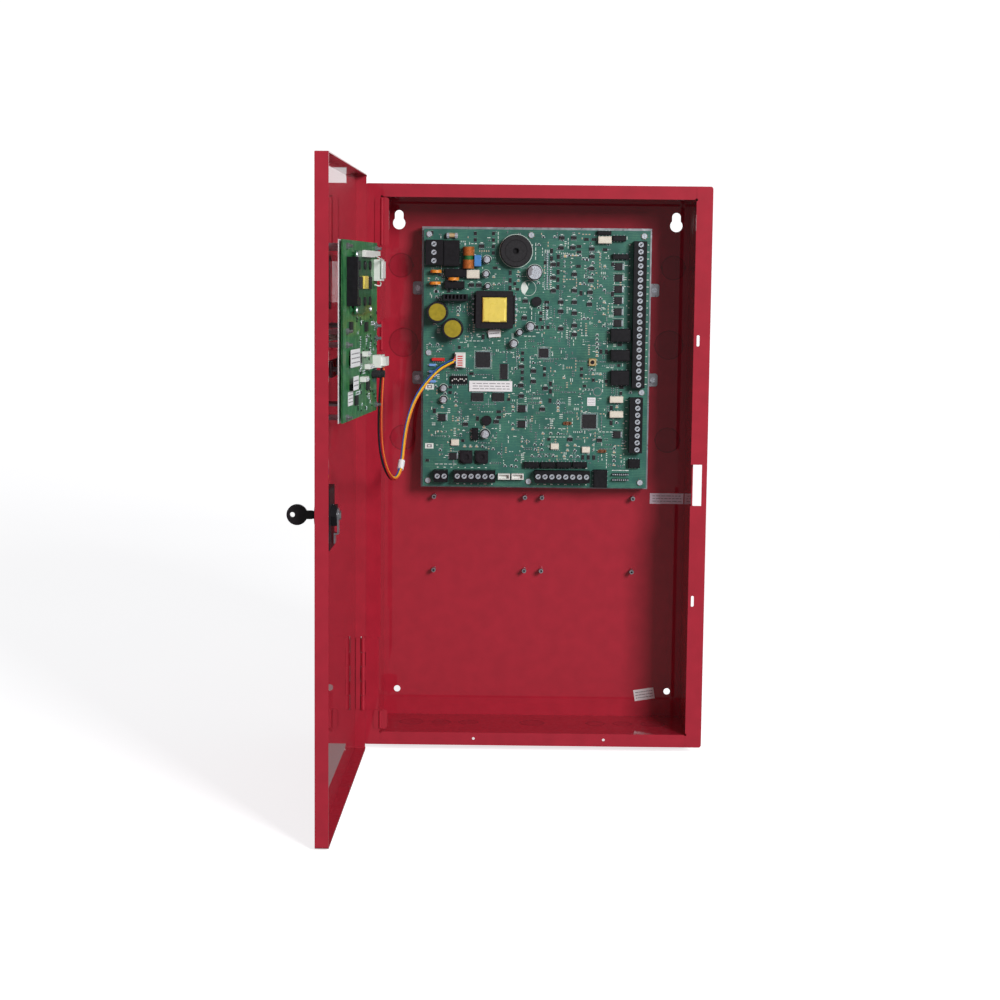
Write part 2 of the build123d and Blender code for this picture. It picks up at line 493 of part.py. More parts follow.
# ---------------------------------------------------------------- chips and small parts
SQUARE_CHIPS = [(-63.6, 124.9, 17.0, 18.0), (8.8, 133.6, 11.0, 10.5), (64.2, 52.5, 16.5, 16.5)]
LONG_CHIPS = [(-69.8, 80.3, 14.5, 9.6), (-45.0, 80.5, 14.5, 9.6), (-38.5, 111.0, 8.6, 18.5)]
SMALL_CHIPS = [(18.7, 238.4), (18.9, 222.8), (19.1, 207.5), (28.4, 269.9), (42.6, 270.0), (27.6, 258.1),
               (41.6, 258.3), (64.2, 257.1), (64.4, 248.2), (64.1, 234.1), (63.8, 220.0), (62.8, 206.1),
               (62.3, 191.9), (43.8, 227.1), (44.1, 207.9), (44.3, 194.2), (44.5, 181.3), (44.8, 166.6),
               (44.9, 155.9), (28.2, 194.1), (28.3, 183.2), (28.6, 162.6), (-66.5, 259.2), (-78.2, 213.2),
               (-69.3, 213.3), (-14.0, 195.0), (-14.9, 175.0), (-17.5, 117.0), (-3.2, 112.0), (-3.2, 99.5),
               (-18.0, 94.5), (-17.5, 82.0), (11.2, 91.5), (8.0, 66.5), (-84.0, 47.5), (-47.0, 51.0),
               (41.5, 30.5), (76.8, 30.0)]
with BuildPart(BOARD) as logic_chips:
    for x, z, width, height in SQUARE_CHIPS + LONG_CHIPS:
        blocks([(x, z)], width, height, 1.7, 0.2)
        blocks([(x, z)], width - 3, height - 3, 0.2)
    blocks(SMALL_CHIPS, 6.2, 3.9, 1.6, 0.1)
    blocks(SMALL_CHIPS, 4.2, 2.0, 0.1)

DRIVERS = down_row(95.2, 236.8, 6, 13.35) + [(-113.2, 55.4), (-99.7, 9.1), (96.5, 37.1), (-17.8, 67.0),
                                             (-17.8, 48.5)]
with BuildPart(BOARD) as driver_transistors:
    blocks([(x + 1.2, z) for x, z in DRIVERS], 6.2, 6.6, 2.3)

with BuildPart(BOARD) as transistor_tabs:
    blocks([(x - 3.3, z) for x, z in DRIVERS], 2.8, 5.4, 0.6)
    blocks([(x + 5.5, z + dz) for x, z in DRIVERS for dz in (-2.3, 2.3)], 2.4, 0.9, 0.6)

HEADER_ROWS = [down_row(11.7, 253.0, 18, 2.54), down_row(11.2, 191.6, 8, 2.54),
               cross_row(93.4, -10.6, 8, 2.54), cross_row(93.4, -17.0, 8, 2.54)]
with BuildPart(BOARD) as pin_headers:
    for places in HEADER_ROWS:
        blocks(places, 2.54, 2.54, 2.4)
        blocks(places, 0.64, 0.64, 8.0)

DIP_X, DIP_Z, DIP_PITCH = -91.8, 100.7, 2.35
LEVERS = cross_row(DIP_X - 3.5 * DIP_PITCH, DIP_Z, 8, DIP_PITCH)
with BuildPart(BOARD) as option_switches:
    blocks([(DIP_X, DIP_Z)], 20.0, 9.4, 4.4)
    blocks(LEVERS, 1.3, 3.6, 2, 3.0, mode=Mode.SUBTRACT)

with BuildPart(BOARD.offset(3.0)) as option_levers:
    blocks([(x, z + (0.9 if i % 3 else -0.9)) for i, (x, z) in enumerate(LEVERS)], 1.2, 1.6, 2.1)

TEST_X, TEST_Z = 66.9, 123.3
with BuildPart(BOARD) as test_switch:
    blocks([(TEST_X, TEST_Z)], 8.6, 8.6, 3.6)
    studs([(TEST_X, TEST_Z)], 2.3, 3, 1.2, mode=Mode.SUBTRACT)

with BuildPart(BOARD) as test_button:
    studs([(TEST_X, TEST_Z)], 2.25, 3.6, 1.6)

SOCKETS = [(-37.2, -14.5), (-20.9, -14.4)]
with BuildPart(BOARD) as board_connectors:
    blocks(SOCKETS, 14.4, 7.0, 8.0)
    blocks(SOCKETS, 11.8, 4.6, 8, 2.0, mode=Mode.SUBTRACT)

# Rows of small parts: the first list lies across the board, the second stands up it.
LYING_ROWS = [cross_row(-121.0, 204.5, 1, 7.0), down_row(-119.5, 219.6, 1, 7.0),
              down_row(-119.5, 206.0, 2, 8.0),
              cross_row(-127.0, 142.0, 2, 9.0), cross_row(-117.5, 134.0, 1, 6.0),
              down_row(-94.0, 186.0, 3, 4.4),
              down_row(-22.5, 229.0, 3, 5.2), cross_row(-52.0, 222.6, 1, 8.0),
              cross_row(-51.5, 214.0, 2, 6.0),
              cross_row(1.2, 216.0, 1, 6.0), cross_row(2.0, 187.0, 1, 6.0), cross_row(6.4, 270.5, 2, 13.5),
              cross_row(1.5, 261.0, 1, 6.0), down_row(65.6, 240.6, 1, 6.0), down_row(65.2, 227.0, 1, 6.0),
              down_row(64.5, 213.0, 1, 6.0), down_row(64.2, 198.8, 1, 6.0), down_row(75.5, 213.2, 2, 14.4),
              down_row(74.6, 185.5, 2, 14.4), down_row(79.6, 236.5, 6, 14.1), cross_row(54.0, 245.0, 2, 4.2),
              cross_row(51.0, 215.5, 2, 4.6), cross_row(33.0, 249.2, 5, 4.3), cross_row(56.0, 174.6, 2, 4.8),
              down_row(71.9, 155.0, 3, 4.8), down_row(72.2, 139.6, 3, 4.5), cross_row(66.4, 113.6, 1, 6.0),
              cross_row(68.0, 108.6, 2, 8.4), down_row(-3.5, 121.5, 1, 6.0), cross_row(-22.6, 127.0, 1, 6.0),
              down_row(-24.8, 114.3, 2, 20.5), down_row(-95.6, 112.0, 1, 6.0),
              cross_row(-108.6, 83.8, 2, 12.6),
              down_row(-95.6, 74.6, 2, 5.2), down_row(-27.2, 68.6, 2, 5.0), down_row(-27.2, 47.6, 2, 5.8),
              cross_row(-111.8, 67.4, 1, 6.0), cross_row(-61.8, 44.0, 1, 6.0),
              cross_row(-84.8, 20.6, 4, 7.2),
              cross_row(-50.6, 17.6, 1, 6.0), cross_row(-114.0, 15.8, 1, 6.0),
              cross_row(-43.4, 12.4, 1, 8.0),
              cross_row(-36.0, -2.6, 2, 7.6), down_row(-23.0, 4.4, 2, 7.6), cross_row(-0.6, 23.6, 2, 8.0),
              cross_row(0.0, 17.4, 2, 8.0), cross_row(38.6, 23.0, 2, 9.0), cross_row(38.6, 17.0, 2, 9.0),
              cross_row(-3.6, 9.9, 4, 8.4), cross_row(34.8, 9.6, 3, 8.2), down_row(94.6, 20.4, 5, 5.1),
              cross_row(97.0, 51.0, 1, 6.0), down_row(96.8, 69.6, 1, 6.0), cross_row(112.8, 87.2, 1, 6.0),
              cross_row(9.0, 37.0, 3, 9.2), cross_row(33.0, 103.9, 1, 6.0), cross_row(5.6, 74.0, 1, 6.0),
              down_row(26.6, 76.0, 4, 3.9), cross_row(-93.0, 52.0, 1, 6.0), cross_row(-119.8, 92.0, 1, 6.0)]
STANDING_ROWS = [down_row(31.2, 248.0, 7, 5.9), cross_row(-117.6, 38.4, 3, 4.6),
                 cross_row(-109.6, 32.8, 2, 5.2),
                 cross_row(-124.8, 34.4, 1, 6.0), cross_row(-40.0, 134.0, 3, 4.2),
                 down_row(-92.8, 62.0, 4, 7.0),
                 down_row(59.6, 244.0, 4, 9.8), cross_row(-105.4, 25.6, 1, 6.4),
                 down_row(39.0, 241.0, 2, 5.4),
                 down_row(20.8, 152.0, 1, 6.0), cross_row(54.2, 40.0, 1, 6.0), down_row(68.6, 30.4, 3, 6.4),
                 down_row(-16.8, 33.0, 3, 5.6), cross_row(-12.6, 27.6, 2, 4.4),
                 cross_row(11.0, 44.2, 4, 3.4),
                 down_row(52.0, 91.0, 2, 5.6), down_row(54.4, 74.4, 3, 4.8), cross_row(58.0, 90.4, 3, 4.0),
                 cross_row(21.4, 111.8, 1, 6.0), down_row(84.4, 168.6, 3, 5.0),
                 cross_row(-62.4, 138.6, 2, 6.0)]
with BuildPart(BOARD) as small_parts:
    for places in LYING_ROWS:
        blocks(places, 3.2, 1.6, 0.9)
    for places in STANDING_ROWS:
        blocks(places, 1.2, 2.2, 0.8)

# ---------------------------------------------------------------- display board on the door
COLUMN_A, COLUMN_B = -84.0, 94.0
POSTS = [(COLUMN_A, 84.5), (COLUMN_A, 0.0), (COLUMN_A, -13.5), (COLUMN_A, -86.0),
         (COLUMN_B, 84.5), (COLUMN_B, 1.5), (COLUMN_B, -12.0), (COLUMN_B, -84.0)]
with BuildPart(PANEL.offset(-PCB_T)) as display_board:
    blocks([(0, 0)], PANEL_W, PANEL_H, PCB_T)
    studs(POSTS, SCREW_R, 2 * PCB_T, mode=Mode.SUBTRACT)

with BuildPart() as display_posts:
    with BuildSketch(PANEL.offset(-PCB_T)):
        with Locations(*POSTS):
            RegularPolygon(3.2, 6)
    extrude(amount=-60)
    with BuildSketch(DOOR.offset(SKIN_IN)):
        Rectangle(900, 900)
    extrude(amount=60, mode=Mode.SUBTRACT)

with BuildPart() as display_nuts:
    with BuildSketch(PANEL):
        with Locations(*POSTS):
            RegularPolygon(3.4, 6)
    extrude(amount=2.6)
    studs_plane = PANEL.offset(-PCB_T)
    with BuildSketch(studs_plane):
        with Locations(*POSTS):
            Circle(SCREW_R)
    extrude(amount=PCB_T + 6.5)

LCD_X0, LCD_X1, LCD_Y0, LCD_Y1 = -57.0, 36.0, 16.5, 80.5
GAP_TO_SHEET = 3.0
SWITCHES = [(PANEL_U - u, BUTTON_Z - PANEL_Z) for u in BUTTON_US.values()]
with BuildPart(PANEL.offset(-PCB_T - GAP_TO_SHEET)) as insulator_sheet:
    block(-PANEL_W / 2 - 1.0, PANEL_W / 2 - 40, -PANEL_H / 2, PANEL_H / 2, 0.6)
    studs([(x, y) for x, y in POSTS if x < 0], 4.2, 3, -1, mode=Mode.SUBTRACT)
    blocks(SWITCHES, 9.0, 9.0, 3, -1, mode=Mode.SUBTRACT)
    block(LCD_X0 + 4, PANEL_W / 2, LCD_Y0 + 9, LCD_Y1 - 9, 3, -1, mode=Mode.SUBTRACT)

with BuildPart(PANEL) as lcd_module:
    block(LCD_X0, LCD_X1, LCD_Y0, LCD_Y1, PCB_T, 3.4)
    studs([(x, y) for x in (LCD_X0 + 4, LCD_X1 - 4) for y in (LCD_Y0 + 4, LCD_Y1 - 4)], 2.4, 3.4)

with BuildPart(PANEL.offset(-PCB_T)) as lcd_glass:
    block(LCD_X0 + 5, LCD_X1 - 5, LCD_Y0 + 10, LCD_Y1 - 10, 9.0, -9.0)

with BuildPart(PANEL) as display_connectors:
    block(-82.5, -74.0, 25.0, 74.0, 11.0)
    block(-66.0, -40.0, -60.0, -54.0, 5.0)

SOCKET_X, SOCKET_Y = 90.0, -36.5
with BuildPart(PANEL) as display_sockets:
    block(40.0, 90.0, 76.5, 81.5, 6.0)
    block(84.0, 104.0, 50.0, 73.0, 8.0)
    blocks([(20.0, -26.0), (36.0, -40.0), (8.0, -52.0)], 20.0, 5.2, 6.0)
    blocks([(SOCKET_X, SOCKET_Y)], 26.0, 13.5, 9.0)
    blocks([(SOCKET_X, SOCKET_Y)], 22.0, 9.5, 5.0, 9.0)

BLOBS = [(x, y) for x in (-42.0, -8.0, 24.0) for y in (66.0, 29.0)]
PANEL_CHIPS = [(-10.0, -30.0), (-60.0, -30.0), (-30.0, -72.0), (40.0, -60.0), (-62.0, 4.0), (30.0, 2.0)]
with BuildPart(PANEL) as display_chips:
    studs(BLOBS, 4.5, 1.8, 3.4 + PCB_T)
    blocks(PANEL_CHIPS, 14.0, 10.0, 2.2)
    studs([(84.0, -50.0)], 4.0, 12.0)
    studs([(72.0, -50.0)], 4.0, 9.0)
    blocks(SWITCHES, 6.2, 6.2, SWITCH_H, -PCB_T - SWITCH_H)

# ---------------------------------------------------------------- harness
HARNESS_R = 2.9
with BuildPart(BOARD) as harness_plug:
    block(-95.6, -86.0, 116.6, 131.9, 14.0)
    block(-97.0, -84.6, 115.2, 133.3, 8.0)

HARNESS_ROUTE = [(-170.3, -236.6, 123.2), (-171.8, -235.0, 104.0), (-173.4, -227.5, 84.5),
                 (-174.4, -219.0, 63.0),
                 (-174.6, -208.0, 41.0), (-172.8, -194.5, 19.5), (-168.0, -178.0, 1.0),
                 (-162.0, -160.0, -8.0),
                 (-156.6, -144.5, -1.5), (-154.3, -134.0, 15.5), (-153.0, -123.5, 35.0),
                 (-149.8, -111.5, 56.0),
                 (-143.8, -99.0, 76.0), (-134.5, -86.5, 93.0), (-122.5, -74.0, 107.5),
                 (-111.5, -61.6, 117.8),
                 (-99.2, -50.9, 123.2)]


def bend_radii(points):
    """Each bend is as open as the two runs beside it allow."""
    spots = [Vector(*point) for point in points]
    runs = [b - a for a, b in zip(spots, spots[1:])]
    turns = [a.get_angle(b) for a, b in zip(runs, runs[1:])]
    return [0.45 * min(a.length, b.length) / tan(radians(turn) / 2)
            for a, b, turn in zip(runs, runs[1:], turns)]


radii = bend_radii(HARNESS_ROUTE)
print("harness bend radii", [round(r, 1) for r in radii])
with BuildPart() as harness_wires:
    with BuildLine() as harness_path:
        FilletPolyline(*HARNESS_ROUTE, radius=radii)
    with BuildSketch(Plane(origin=harness_path.wire() @ 0, z_dir=harness_path.wire() % 0)):
        Circle(HARNESS_R)
    sweep()
print("harness length", round(harness_path.wire().length, 1))

SLEEVE_FROM, SLEEVE_TO = Vector(*HARNESS_ROUTE[8]), Vector(*HARNESS_ROUTE[9])
SLEEVE_LEN = 14.0
sleeve_dir = (SLEEVE_TO - SLEEVE_FROM).normalized()
sleeve_start = (SLEEVE_FROM + SLEEVE_TO) * 0.5 - sleeve_dir * (SLEEVE_LEN / 2)
with BuildPart() as harness_sleeve:
    with BuildSketch(Plane(origin=sleeve_start, z_dir=sleeve_dir)):
        Circle(HARNESS_R + 1.3)
        Circle(HARNESS_R + 0.5, mode=Mode.SUBTRACT)
    extrude(amount=SLEEVE_LEN)

# ---------------------------------------------------------------- one STEP file for each piece
pieces = {
    "backbox": backbox, "knockouts": knockouts, "front_frame": front_frame, "flange_straps": flange_straps,
    "hinge_frame_leaves": hinge_frame_leaves, "hinge_pins": hinge_pins,
    "hinge_door_leaves": hinge_door_leaves,
    "door_pan": door_pan, "display_window": display_window, "status_lights": status_lights,
    "lock_bracket": lock_bracket, "lock_body": lock_body, "lock_nut": lock_nut, "lock_plug": lock_plug,
    "lock_cam": lock_cam, "key": key, "chassis_tray": chassis_tray, "chassis_screws": chassis_screws,
    "standoffs": standoffs, "main_board": main_board, "side_terminal_strips": side_terminal_strips,
    "mains_terminal_block": mains_terminal_block, "low_terminal_blocks": low_terminal_blocks,
    "terminal_screws": terminal_screws, "transformer_core": transformer_core,
    "transformer_winding": transformer_winding, "choke": choke, "sounder": sounder,
    "capacitor_cans": capacitor_cans, "varistors": varistors, "heatsink": heatsink, "inductors": inductors,
    "relay_housings": relay_housings, "signal_relays": signal_relays, "logic_chips": logic_chips,
    "driver_transistors": driver_transistors, "transistor_tabs": transistor_tabs,
    "pin_headers": pin_headers, "option_switches": option_switches, "option_levers": option_levers,
    "test_switch": test_switch, "test_button": test_button, "board_connectors": board_connectors,
    "small_parts": small_parts, "display_board": display_board, "display_posts": display_posts,
    "display_nuts": display_nuts, "insulator_sheet": insulator_sheet, "lcd_module": lcd_module,
    "lcd_glass": lcd_glass, "display_connectors": display_connectors, "display_sockets": display_sockets,
    "display_chips": display_chips, "harness_plug": harness_plug, "harness_wires": harness_wires,
    "harness_sleeve": harness_sleeve, **buttons,
}
for label, piece in pieces.items():
    piece.part.label = label
    export_step(piece.part, f"parts/{label}.step")
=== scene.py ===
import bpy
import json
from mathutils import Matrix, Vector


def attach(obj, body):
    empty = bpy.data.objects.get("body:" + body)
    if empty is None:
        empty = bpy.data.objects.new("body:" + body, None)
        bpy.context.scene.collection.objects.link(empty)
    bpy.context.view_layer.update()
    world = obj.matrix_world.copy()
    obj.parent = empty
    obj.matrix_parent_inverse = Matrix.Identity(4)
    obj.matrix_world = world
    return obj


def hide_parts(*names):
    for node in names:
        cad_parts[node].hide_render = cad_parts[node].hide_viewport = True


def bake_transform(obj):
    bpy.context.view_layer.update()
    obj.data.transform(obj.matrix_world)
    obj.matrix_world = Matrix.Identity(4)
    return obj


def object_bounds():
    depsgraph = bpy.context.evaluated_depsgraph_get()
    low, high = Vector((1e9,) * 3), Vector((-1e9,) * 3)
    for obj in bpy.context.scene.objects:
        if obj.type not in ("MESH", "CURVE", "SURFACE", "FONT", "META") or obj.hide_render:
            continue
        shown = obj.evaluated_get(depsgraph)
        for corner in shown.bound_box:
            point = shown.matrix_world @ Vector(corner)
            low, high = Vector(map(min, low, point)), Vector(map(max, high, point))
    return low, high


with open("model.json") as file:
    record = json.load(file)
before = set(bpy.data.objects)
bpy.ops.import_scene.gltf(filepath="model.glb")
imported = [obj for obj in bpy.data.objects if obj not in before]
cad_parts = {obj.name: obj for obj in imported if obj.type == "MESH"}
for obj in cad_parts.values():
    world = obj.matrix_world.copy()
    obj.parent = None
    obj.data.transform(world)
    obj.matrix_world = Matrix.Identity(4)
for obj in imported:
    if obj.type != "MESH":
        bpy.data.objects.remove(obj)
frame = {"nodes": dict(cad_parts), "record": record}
cad_box = [list(corner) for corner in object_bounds()]

import json
import random
from math import cos, pi, radians, sin

import bmesh
import bpy
from mathutils import Matrix, Vector

# Lengths below are in millimetres on a face of the object, and MM turns them into scene metres.
MM = 0.001
nodes = frame["nodes"]
scene = bpy.context.scene

# ------------ camera
LENS, SENSOR = 69.403, 36.0
EYE = (-32.86, -2340.79, 220.93)
TILT_DOWN, TURN_RIGHT, ROLL = 0.1142418, 0.0105843, 0.0038303


def add_camera():
    """The view of the reference picture: a long lens, a little above the middle, looking slightly down."""
    turn = (Matrix.Rotation(TURN_RIGHT, 3, "Y") @ Matrix.Rotation(TILT_DOWN, 3, "X")
            @ Matrix.Rotation(-ROLL, 3, "Z"))
    right, ahead, up = turn
    data = bpy.data.cameras.new("camera")
    data.lens, data.sensor_width = LENS, SENSOR
    data.clip_start, data.clip_end = 0.05, 60.0
    camera = bpy.data.objects.new("camera", data)
    camera.matrix_world = (Matrix.Translation(Vector(EYE) * MM)
                           @ Matrix((right, up, -ahead)).transposed().to_4x4())
    scene.collection.objects.link(camera)
    scene.camera = camera


add_camera()

# ------------ faces that pieces are laid out on
DOOR_OPEN, PANEL_TILT = 90.85, 4.5
HINGE_X, HINGE_Y = -200.7, -107.9
PANEL_U, PANEL_Z, PANEL_W = 223.5, 167.3, -16.8
BOARD_Y, PCB_T = -36.0, 1.6
WALL_Y = -1.5


def face(origin, right, up=(0, 0, 1)):
    """The matrix of a flat face: x to the right, y up and h out towards whoever looks at it."""
    right, up = Vector(right).normalized(), Vector(up).normalized()
    axes = Matrix((right, up, right.cross(up))).transposed().to_4x4()
    return Matrix.Translation(Vector(origin) * MM) @ axes @ Matrix.Scale(MM, 4)


swing, lean = radians(DOOR_OPEN), radians(DOOR_OPEN + PANEL_TILT)
WALL = face((0, WALL_Y, 0), (1, 0, 0))
BOARD = face((0, BOARD_Y, 0), (1, 0, 0))
CABINET_FLOOR = face((0, 0, 0), (1, 0, 0), (0, 1, 0))
DOOR = face((HINGE_X, HINGE_Y, 0), (cos(swing), -sin(swing), 0))
PANEL = face((DOOR @ Vector((PANEL_U, PANEL_Z, PANEL_W))) / MM, (-cos(lean), sin(lean), 0))

# ------------ materials


def tint(red, green, blue):
    """A colour as a screen shows it, 0 to 255, as the linear values that a shader takes."""
    return tuple(((c / 255 + 0.055) / 1.055) ** 2.4 if c > 10 else c / 255 / 12.92
                 for c in (red, green, blue)) + (1.0,)


def shade(colour, share):
    """The same colour, lighter or darker."""
    return tuple(min(1.0, c * share) for c in colour[:3]) + (1.0,)


def grow(tree, kind, **values):
    """A new shader node, with constants on its inputs."""
    node = tree.nodes.new("ShaderNode" + kind)
    put(node, **values)
    return node


def put(node, **values):
    """Sets constants on a node's inputs. An underscore in a name stands for a space."""
    for name, value in values.items():
        node.inputs[name.replace("_", " ")].default_value = value


def look(name, colour, spread, grain, rough, metal=0.0, coat=0.0, coat_rough=0.06, bump=0.0,
         bump_grain=2500.0, shine=0.5, clear=0.0, glow=0.0):
    """A material with patchy colour, uneven gloss and a fine relief, all from noise in object space."""
    material = bpy.data.materials.new(name)
    material.use_nodes = True
    tree = material.node_tree
    link = tree.links.new
    shader = tree.nodes["Principled BSDF"]
    put(shader, Metallic=metal, Coat_Weight=coat, Coat_Roughness=coat_rough, Transmission_Weight=clear,
        Specular_IOR_Level=shine)
    if glow:
        put(shader, Emission_Color=colour, Emission_Strength=glow)
    place = grow(tree, "TexCoord")

    def noise(size, detail):
        cloud = grow(tree, "TexNoise", Scale=size, Detail=detail)
        link(place.outputs["Object"], cloud.inputs["Vector"])
        return cloud.outputs["Fac"]

    patches = noise(grain, 4.0)
    ramp = grow(tree, "ValToRGB")
    for stop, position, share in zip(ramp.color_ramp.elements, (0.32, 0.68), (1 - spread, 1 + spread)):
        stop.position, stop.color = position, shade(colour, share)
    link(patches, ramp.inputs["Fac"])
    link(ramp.outputs["Color"], shader.inputs["Base Color"])
    gloss = grow(tree, "MapRange", From_Min=0.3, From_Max=0.7, To_Min=rough[0], To_Max=rough[1])
    link(noise(grain * 2.7, 3.0), gloss.inputs["Value"])
    link(gloss.outputs["Result"], shader.inputs["Roughness"])
    if bump:
        relief = grow(tree, "Bump", Strength=bump, Distance=0.0002)
        link(noise(bump_grain, 2.0), relief.inputs["Height"])
        link(relief.outputs["Normal"], shader.inputs["Normal"])
    return material


def lay_stripes(material, axis, pitch, depth):
    """Adds fine parallel grooves to a material, as in stacked sheet metal or wound tape."""
    tree = material.node_tree
    link = tree.links.new
    place = grow(tree, "TexCoord")
    wave = grow(tree, "TexWave", Scale=0.314 / (pitch * MM), Distortion=0.4)
    wave.bands_direction = axis
    relief = grow(tree, "Bump", Strength=depth, Distance=0.0004)
    link(place.outputs["Object"], wave.inputs["Vector"])
    link(wave.outputs["Fac"], relief.inputs["Height"])
    link(relief.outputs["Normal"], tree.nodes["Principled BSDF"].inputs["Normal"])


TRACK_W = 0.2


def lay_tracks(material, colour, sideways, run):
    """Adds copper tracks under the lacquer of a circuit board: thin lines in short staggered runs."""
    tree = material.node_tree
    link = tree.links.new
    shader = tree.nodes["Principled BSDF"]
    under = shader.inputs["Base Color"].links[0].from_socket
    place = grow(tree, "TexCoord")
    for turn, seed in ((0.0, 0.0), (pi / 2, 3.3)):
        turned = grow(tree, "Mapping", Rotation=(pi / 2, turn, sideways), Location=(seed * MM, seed * MM, 0))
        bricks = grow(tree, "TexBrick", Scale=1.0, Brick_Width=run * MM, Row_Height=1.9 * MM,
                      Mortar_Size=TRACK_W * MM, Mortar_Smooth=0.2)
        breaks = grow(tree, "TexNoise", Scale=75.0)
        share = grow(tree, "MapRange", From_Min=0.47, From_Max=0.55, To_Max=0.5)
        both = grow(tree, "Math")
        both.operation = "MULTIPLY"
        mix = grow(tree, "Mix")
        mix.data_type = "RGBA"
        link(place.outputs["Object"], turned.inputs["Vector"])
        link(turned.outputs["Vector"], bricks.inputs["Vector"])
        link(turned.outputs["Vector"], breaks.inputs["Vector"])
        link(breaks.outputs["Fac"], share.inputs["Value"])
        link(share.outputs["Result"], both.inputs[0])
        link(bricks.outputs["Fac"], both.inputs[1])
        link(both.outputs["Value"], mix.inputs["Factor"])
        link(under, mix.inputs["A"])
        mix.inputs["B"].default_value = colour
        under = mix.outputs["Result"]
    link(under, shader.inputs["Base Color"])


# Each look: its colour, how far that wanders, the scale of its patches, its roughness and its extras.
ENAMEL = dict(coat=1.0, coat_rough=0.02, bump=0.1, bump_grain=1700.0, shine=0.12)
LOOK_TABLE = {
    "red_enamel": ((168, 30, 50), 0.06, 60, (0.45, 0.58), ENAMEL),
    "pressed_red": ((156, 28, 47), 0.06, 60, (0.45, 0.58), ENAMEL),
    # The next look is a darker red: painted shade in the scores round the knockouts.
    "score_shade_red": ((134, 24, 40), 0.06, 60, (0.45, 0.58), ENAMEL),
    "zinc_steel": ((158, 158, 164), 0.2, 120, (0.26, 0.42), dict(metal=0.8, bump=0.12)),
    "chrome_lock": ((205, 206, 210), 0.06, 90, (0.08, 0.2), dict(metal=1, bump=0.05)),
    "black_plate": ((26, 24, 28), 0.2, 200, (0.35, 0.5), dict(bump=0.2, shine=0.18)),
    "black_key": ((34, 29, 33), 0.25, 220, (0.28, 0.42), dict(coat=0.2, bump=0.25, shine=0.18)),
    "board_green": ((54, 104, 94), 0.16, 45, (0.3, 0.42), dict(coat=0.15, bump=0.12, shine=0.25)),
    "panel_green": ((44, 112, 66), 0.16, 55, (0.3, 0.42), dict(coat=0.2, bump=0.12, shine=0.25)),
    "dark_green": ((30, 84, 50), 0.16, 60, (0.3, 0.4), dict(coat=0.3, bump=0.12, shine=0.25)),
    "black_plastic": ((27, 26, 30), 0.22, 260, (0.32, 0.46), dict(bump=0.2, shine=0.18)),
    "chip_black": ((42, 41, 44), 0.2, 420, (0.45, 0.6), dict(bump=0.3, bump_grain=5200, shine=0.18)),
    "white_plastic": ((226, 226, 222), 0.04, 220, (0.35, 0.48), dict(bump=0.12)),
    "cream_plastic": ((226, 219, 204), 0.16, 1500, (0.35, 0.5), dict(bump=0.15)),
    "ferrite": ((34, 31, 36), 0.25, 380, (0.35, 0.55), dict(bump=0.45, bump_grain=1800, shine=0.18)),
    "yellow_tape": ((238, 214, 98), 0.05, 90, (0.24, 0.36), dict(coat=0.5, bump=0.05)),
    "green_winding": ((42, 118, 66), 0.18, 500, (0.3, 0.42), dict(coat=0.3, bump=0.2)),
    "copper": ((224, 138, 72), 0.16, 420, (0.24, 0.38), dict(metal=0.5, bump=0.12)),
    "copper_pad": ((172, 92, 56), 0.2, 420, (0.3, 0.42), dict(metal=0.6, bump=0.12)),
    "can_sleeve": ((36, 36, 42), 0.2, 240, (0.2, 0.32), dict(coat=0.5, bump=0.1, shine=0.18)),
    "can_olive": ((176, 158, 42), 0.14, 240, (0.3, 0.42), dict(metal=0.35, bump=0.12)),
    "disc_orange": ((226, 140, 44), 0.12, 320, (0.22, 0.34), dict(coat=0.4, bump=0.15)),
    "alu_sink": ((44, 43, 48), 0.2, 200, (0.3, 0.45), dict(metal=0.4, bump=0.15, shine=0.18)),
    "tin": ((222, 228, 238), 0.1, 500, (0.18, 0.32), dict(metal=0.55, bump=0.12)),
    "brass": ((206, 176, 98), 0.12, 300, (0.2, 0.34), dict(metal=0.9, bump=0.1)),
    "red_plastic": ((204, 42, 40), 0.1, 260, (0.3, 0.42), dict(bump=0.12)),
    "window_clear": ((228, 234, 236), 0.03, 100, (0.04, 0.09), dict(clear=0.9)),
    "display_face": ((104, 122, 78), 0.08, 120, (0.12, 0.2), dict(coat=0.6)),
    "film": ((222, 224, 226), 0.05, 120, (0.25, 0.4), dict(bump=0.1)),
    "grey_button": ((150, 152, 156), 0.07, 220, (0.4, 0.52), dict(bump=0.25)),
    "red_button": ((190, 36, 40), 0.08, 220, (0.4, 0.5), dict(bump=0.25)),
    "light_lens": ((214, 226, 214), 0.05, 220, (0.1, 0.18), dict(clear=0.5)),
    "wire_jacket": ((226, 160, 50), 0.08, 300, (0.34, 0.46), dict(bump=0.12)),
    "white_sleeve": ((230, 230, 232), 0.04, 260, (0.42, 0.55), dict(bump=0.2)),
    "blue_block": ((72, 136, 206), 0.1, 300, (0.28, 0.4), dict(coat=0.3, bump=0.1)),
    "light_blue": ((116, 162, 224), 0.08, 300, (0.3, 0.42), dict(bump=0.1)),
    "silk_white": ((224, 232, 226), 0.05, 800, (0.5, 0.62), dict()),
    "label_paper": ((234, 234, 236), 0.03, 300, (0.45, 0.6), dict(bump=0.06)),
    "label_mauve": ((222, 204, 216), 0.05, 300, (0.4, 0.55), dict(bump=0.06)),
    "print_grey": ((128, 126, 132), 0.1, 600, (0.5, 0.62), dict()),
    "brown": ((122, 74, 44), 0.18, 400, (0.28, 0.4), dict(coat=0.3, bump=0.15)),
    "tan": ((196, 172, 128), 0.12, 400, (0.35, 0.5), dict(bump=0.15)),
}
WIRES = {"black": (28, 27, 30), "blue": (44, 86, 168), "yellow": (236, 196, 50),
         "orange": (228, 120, 40), "red": (186, 34, 38)}
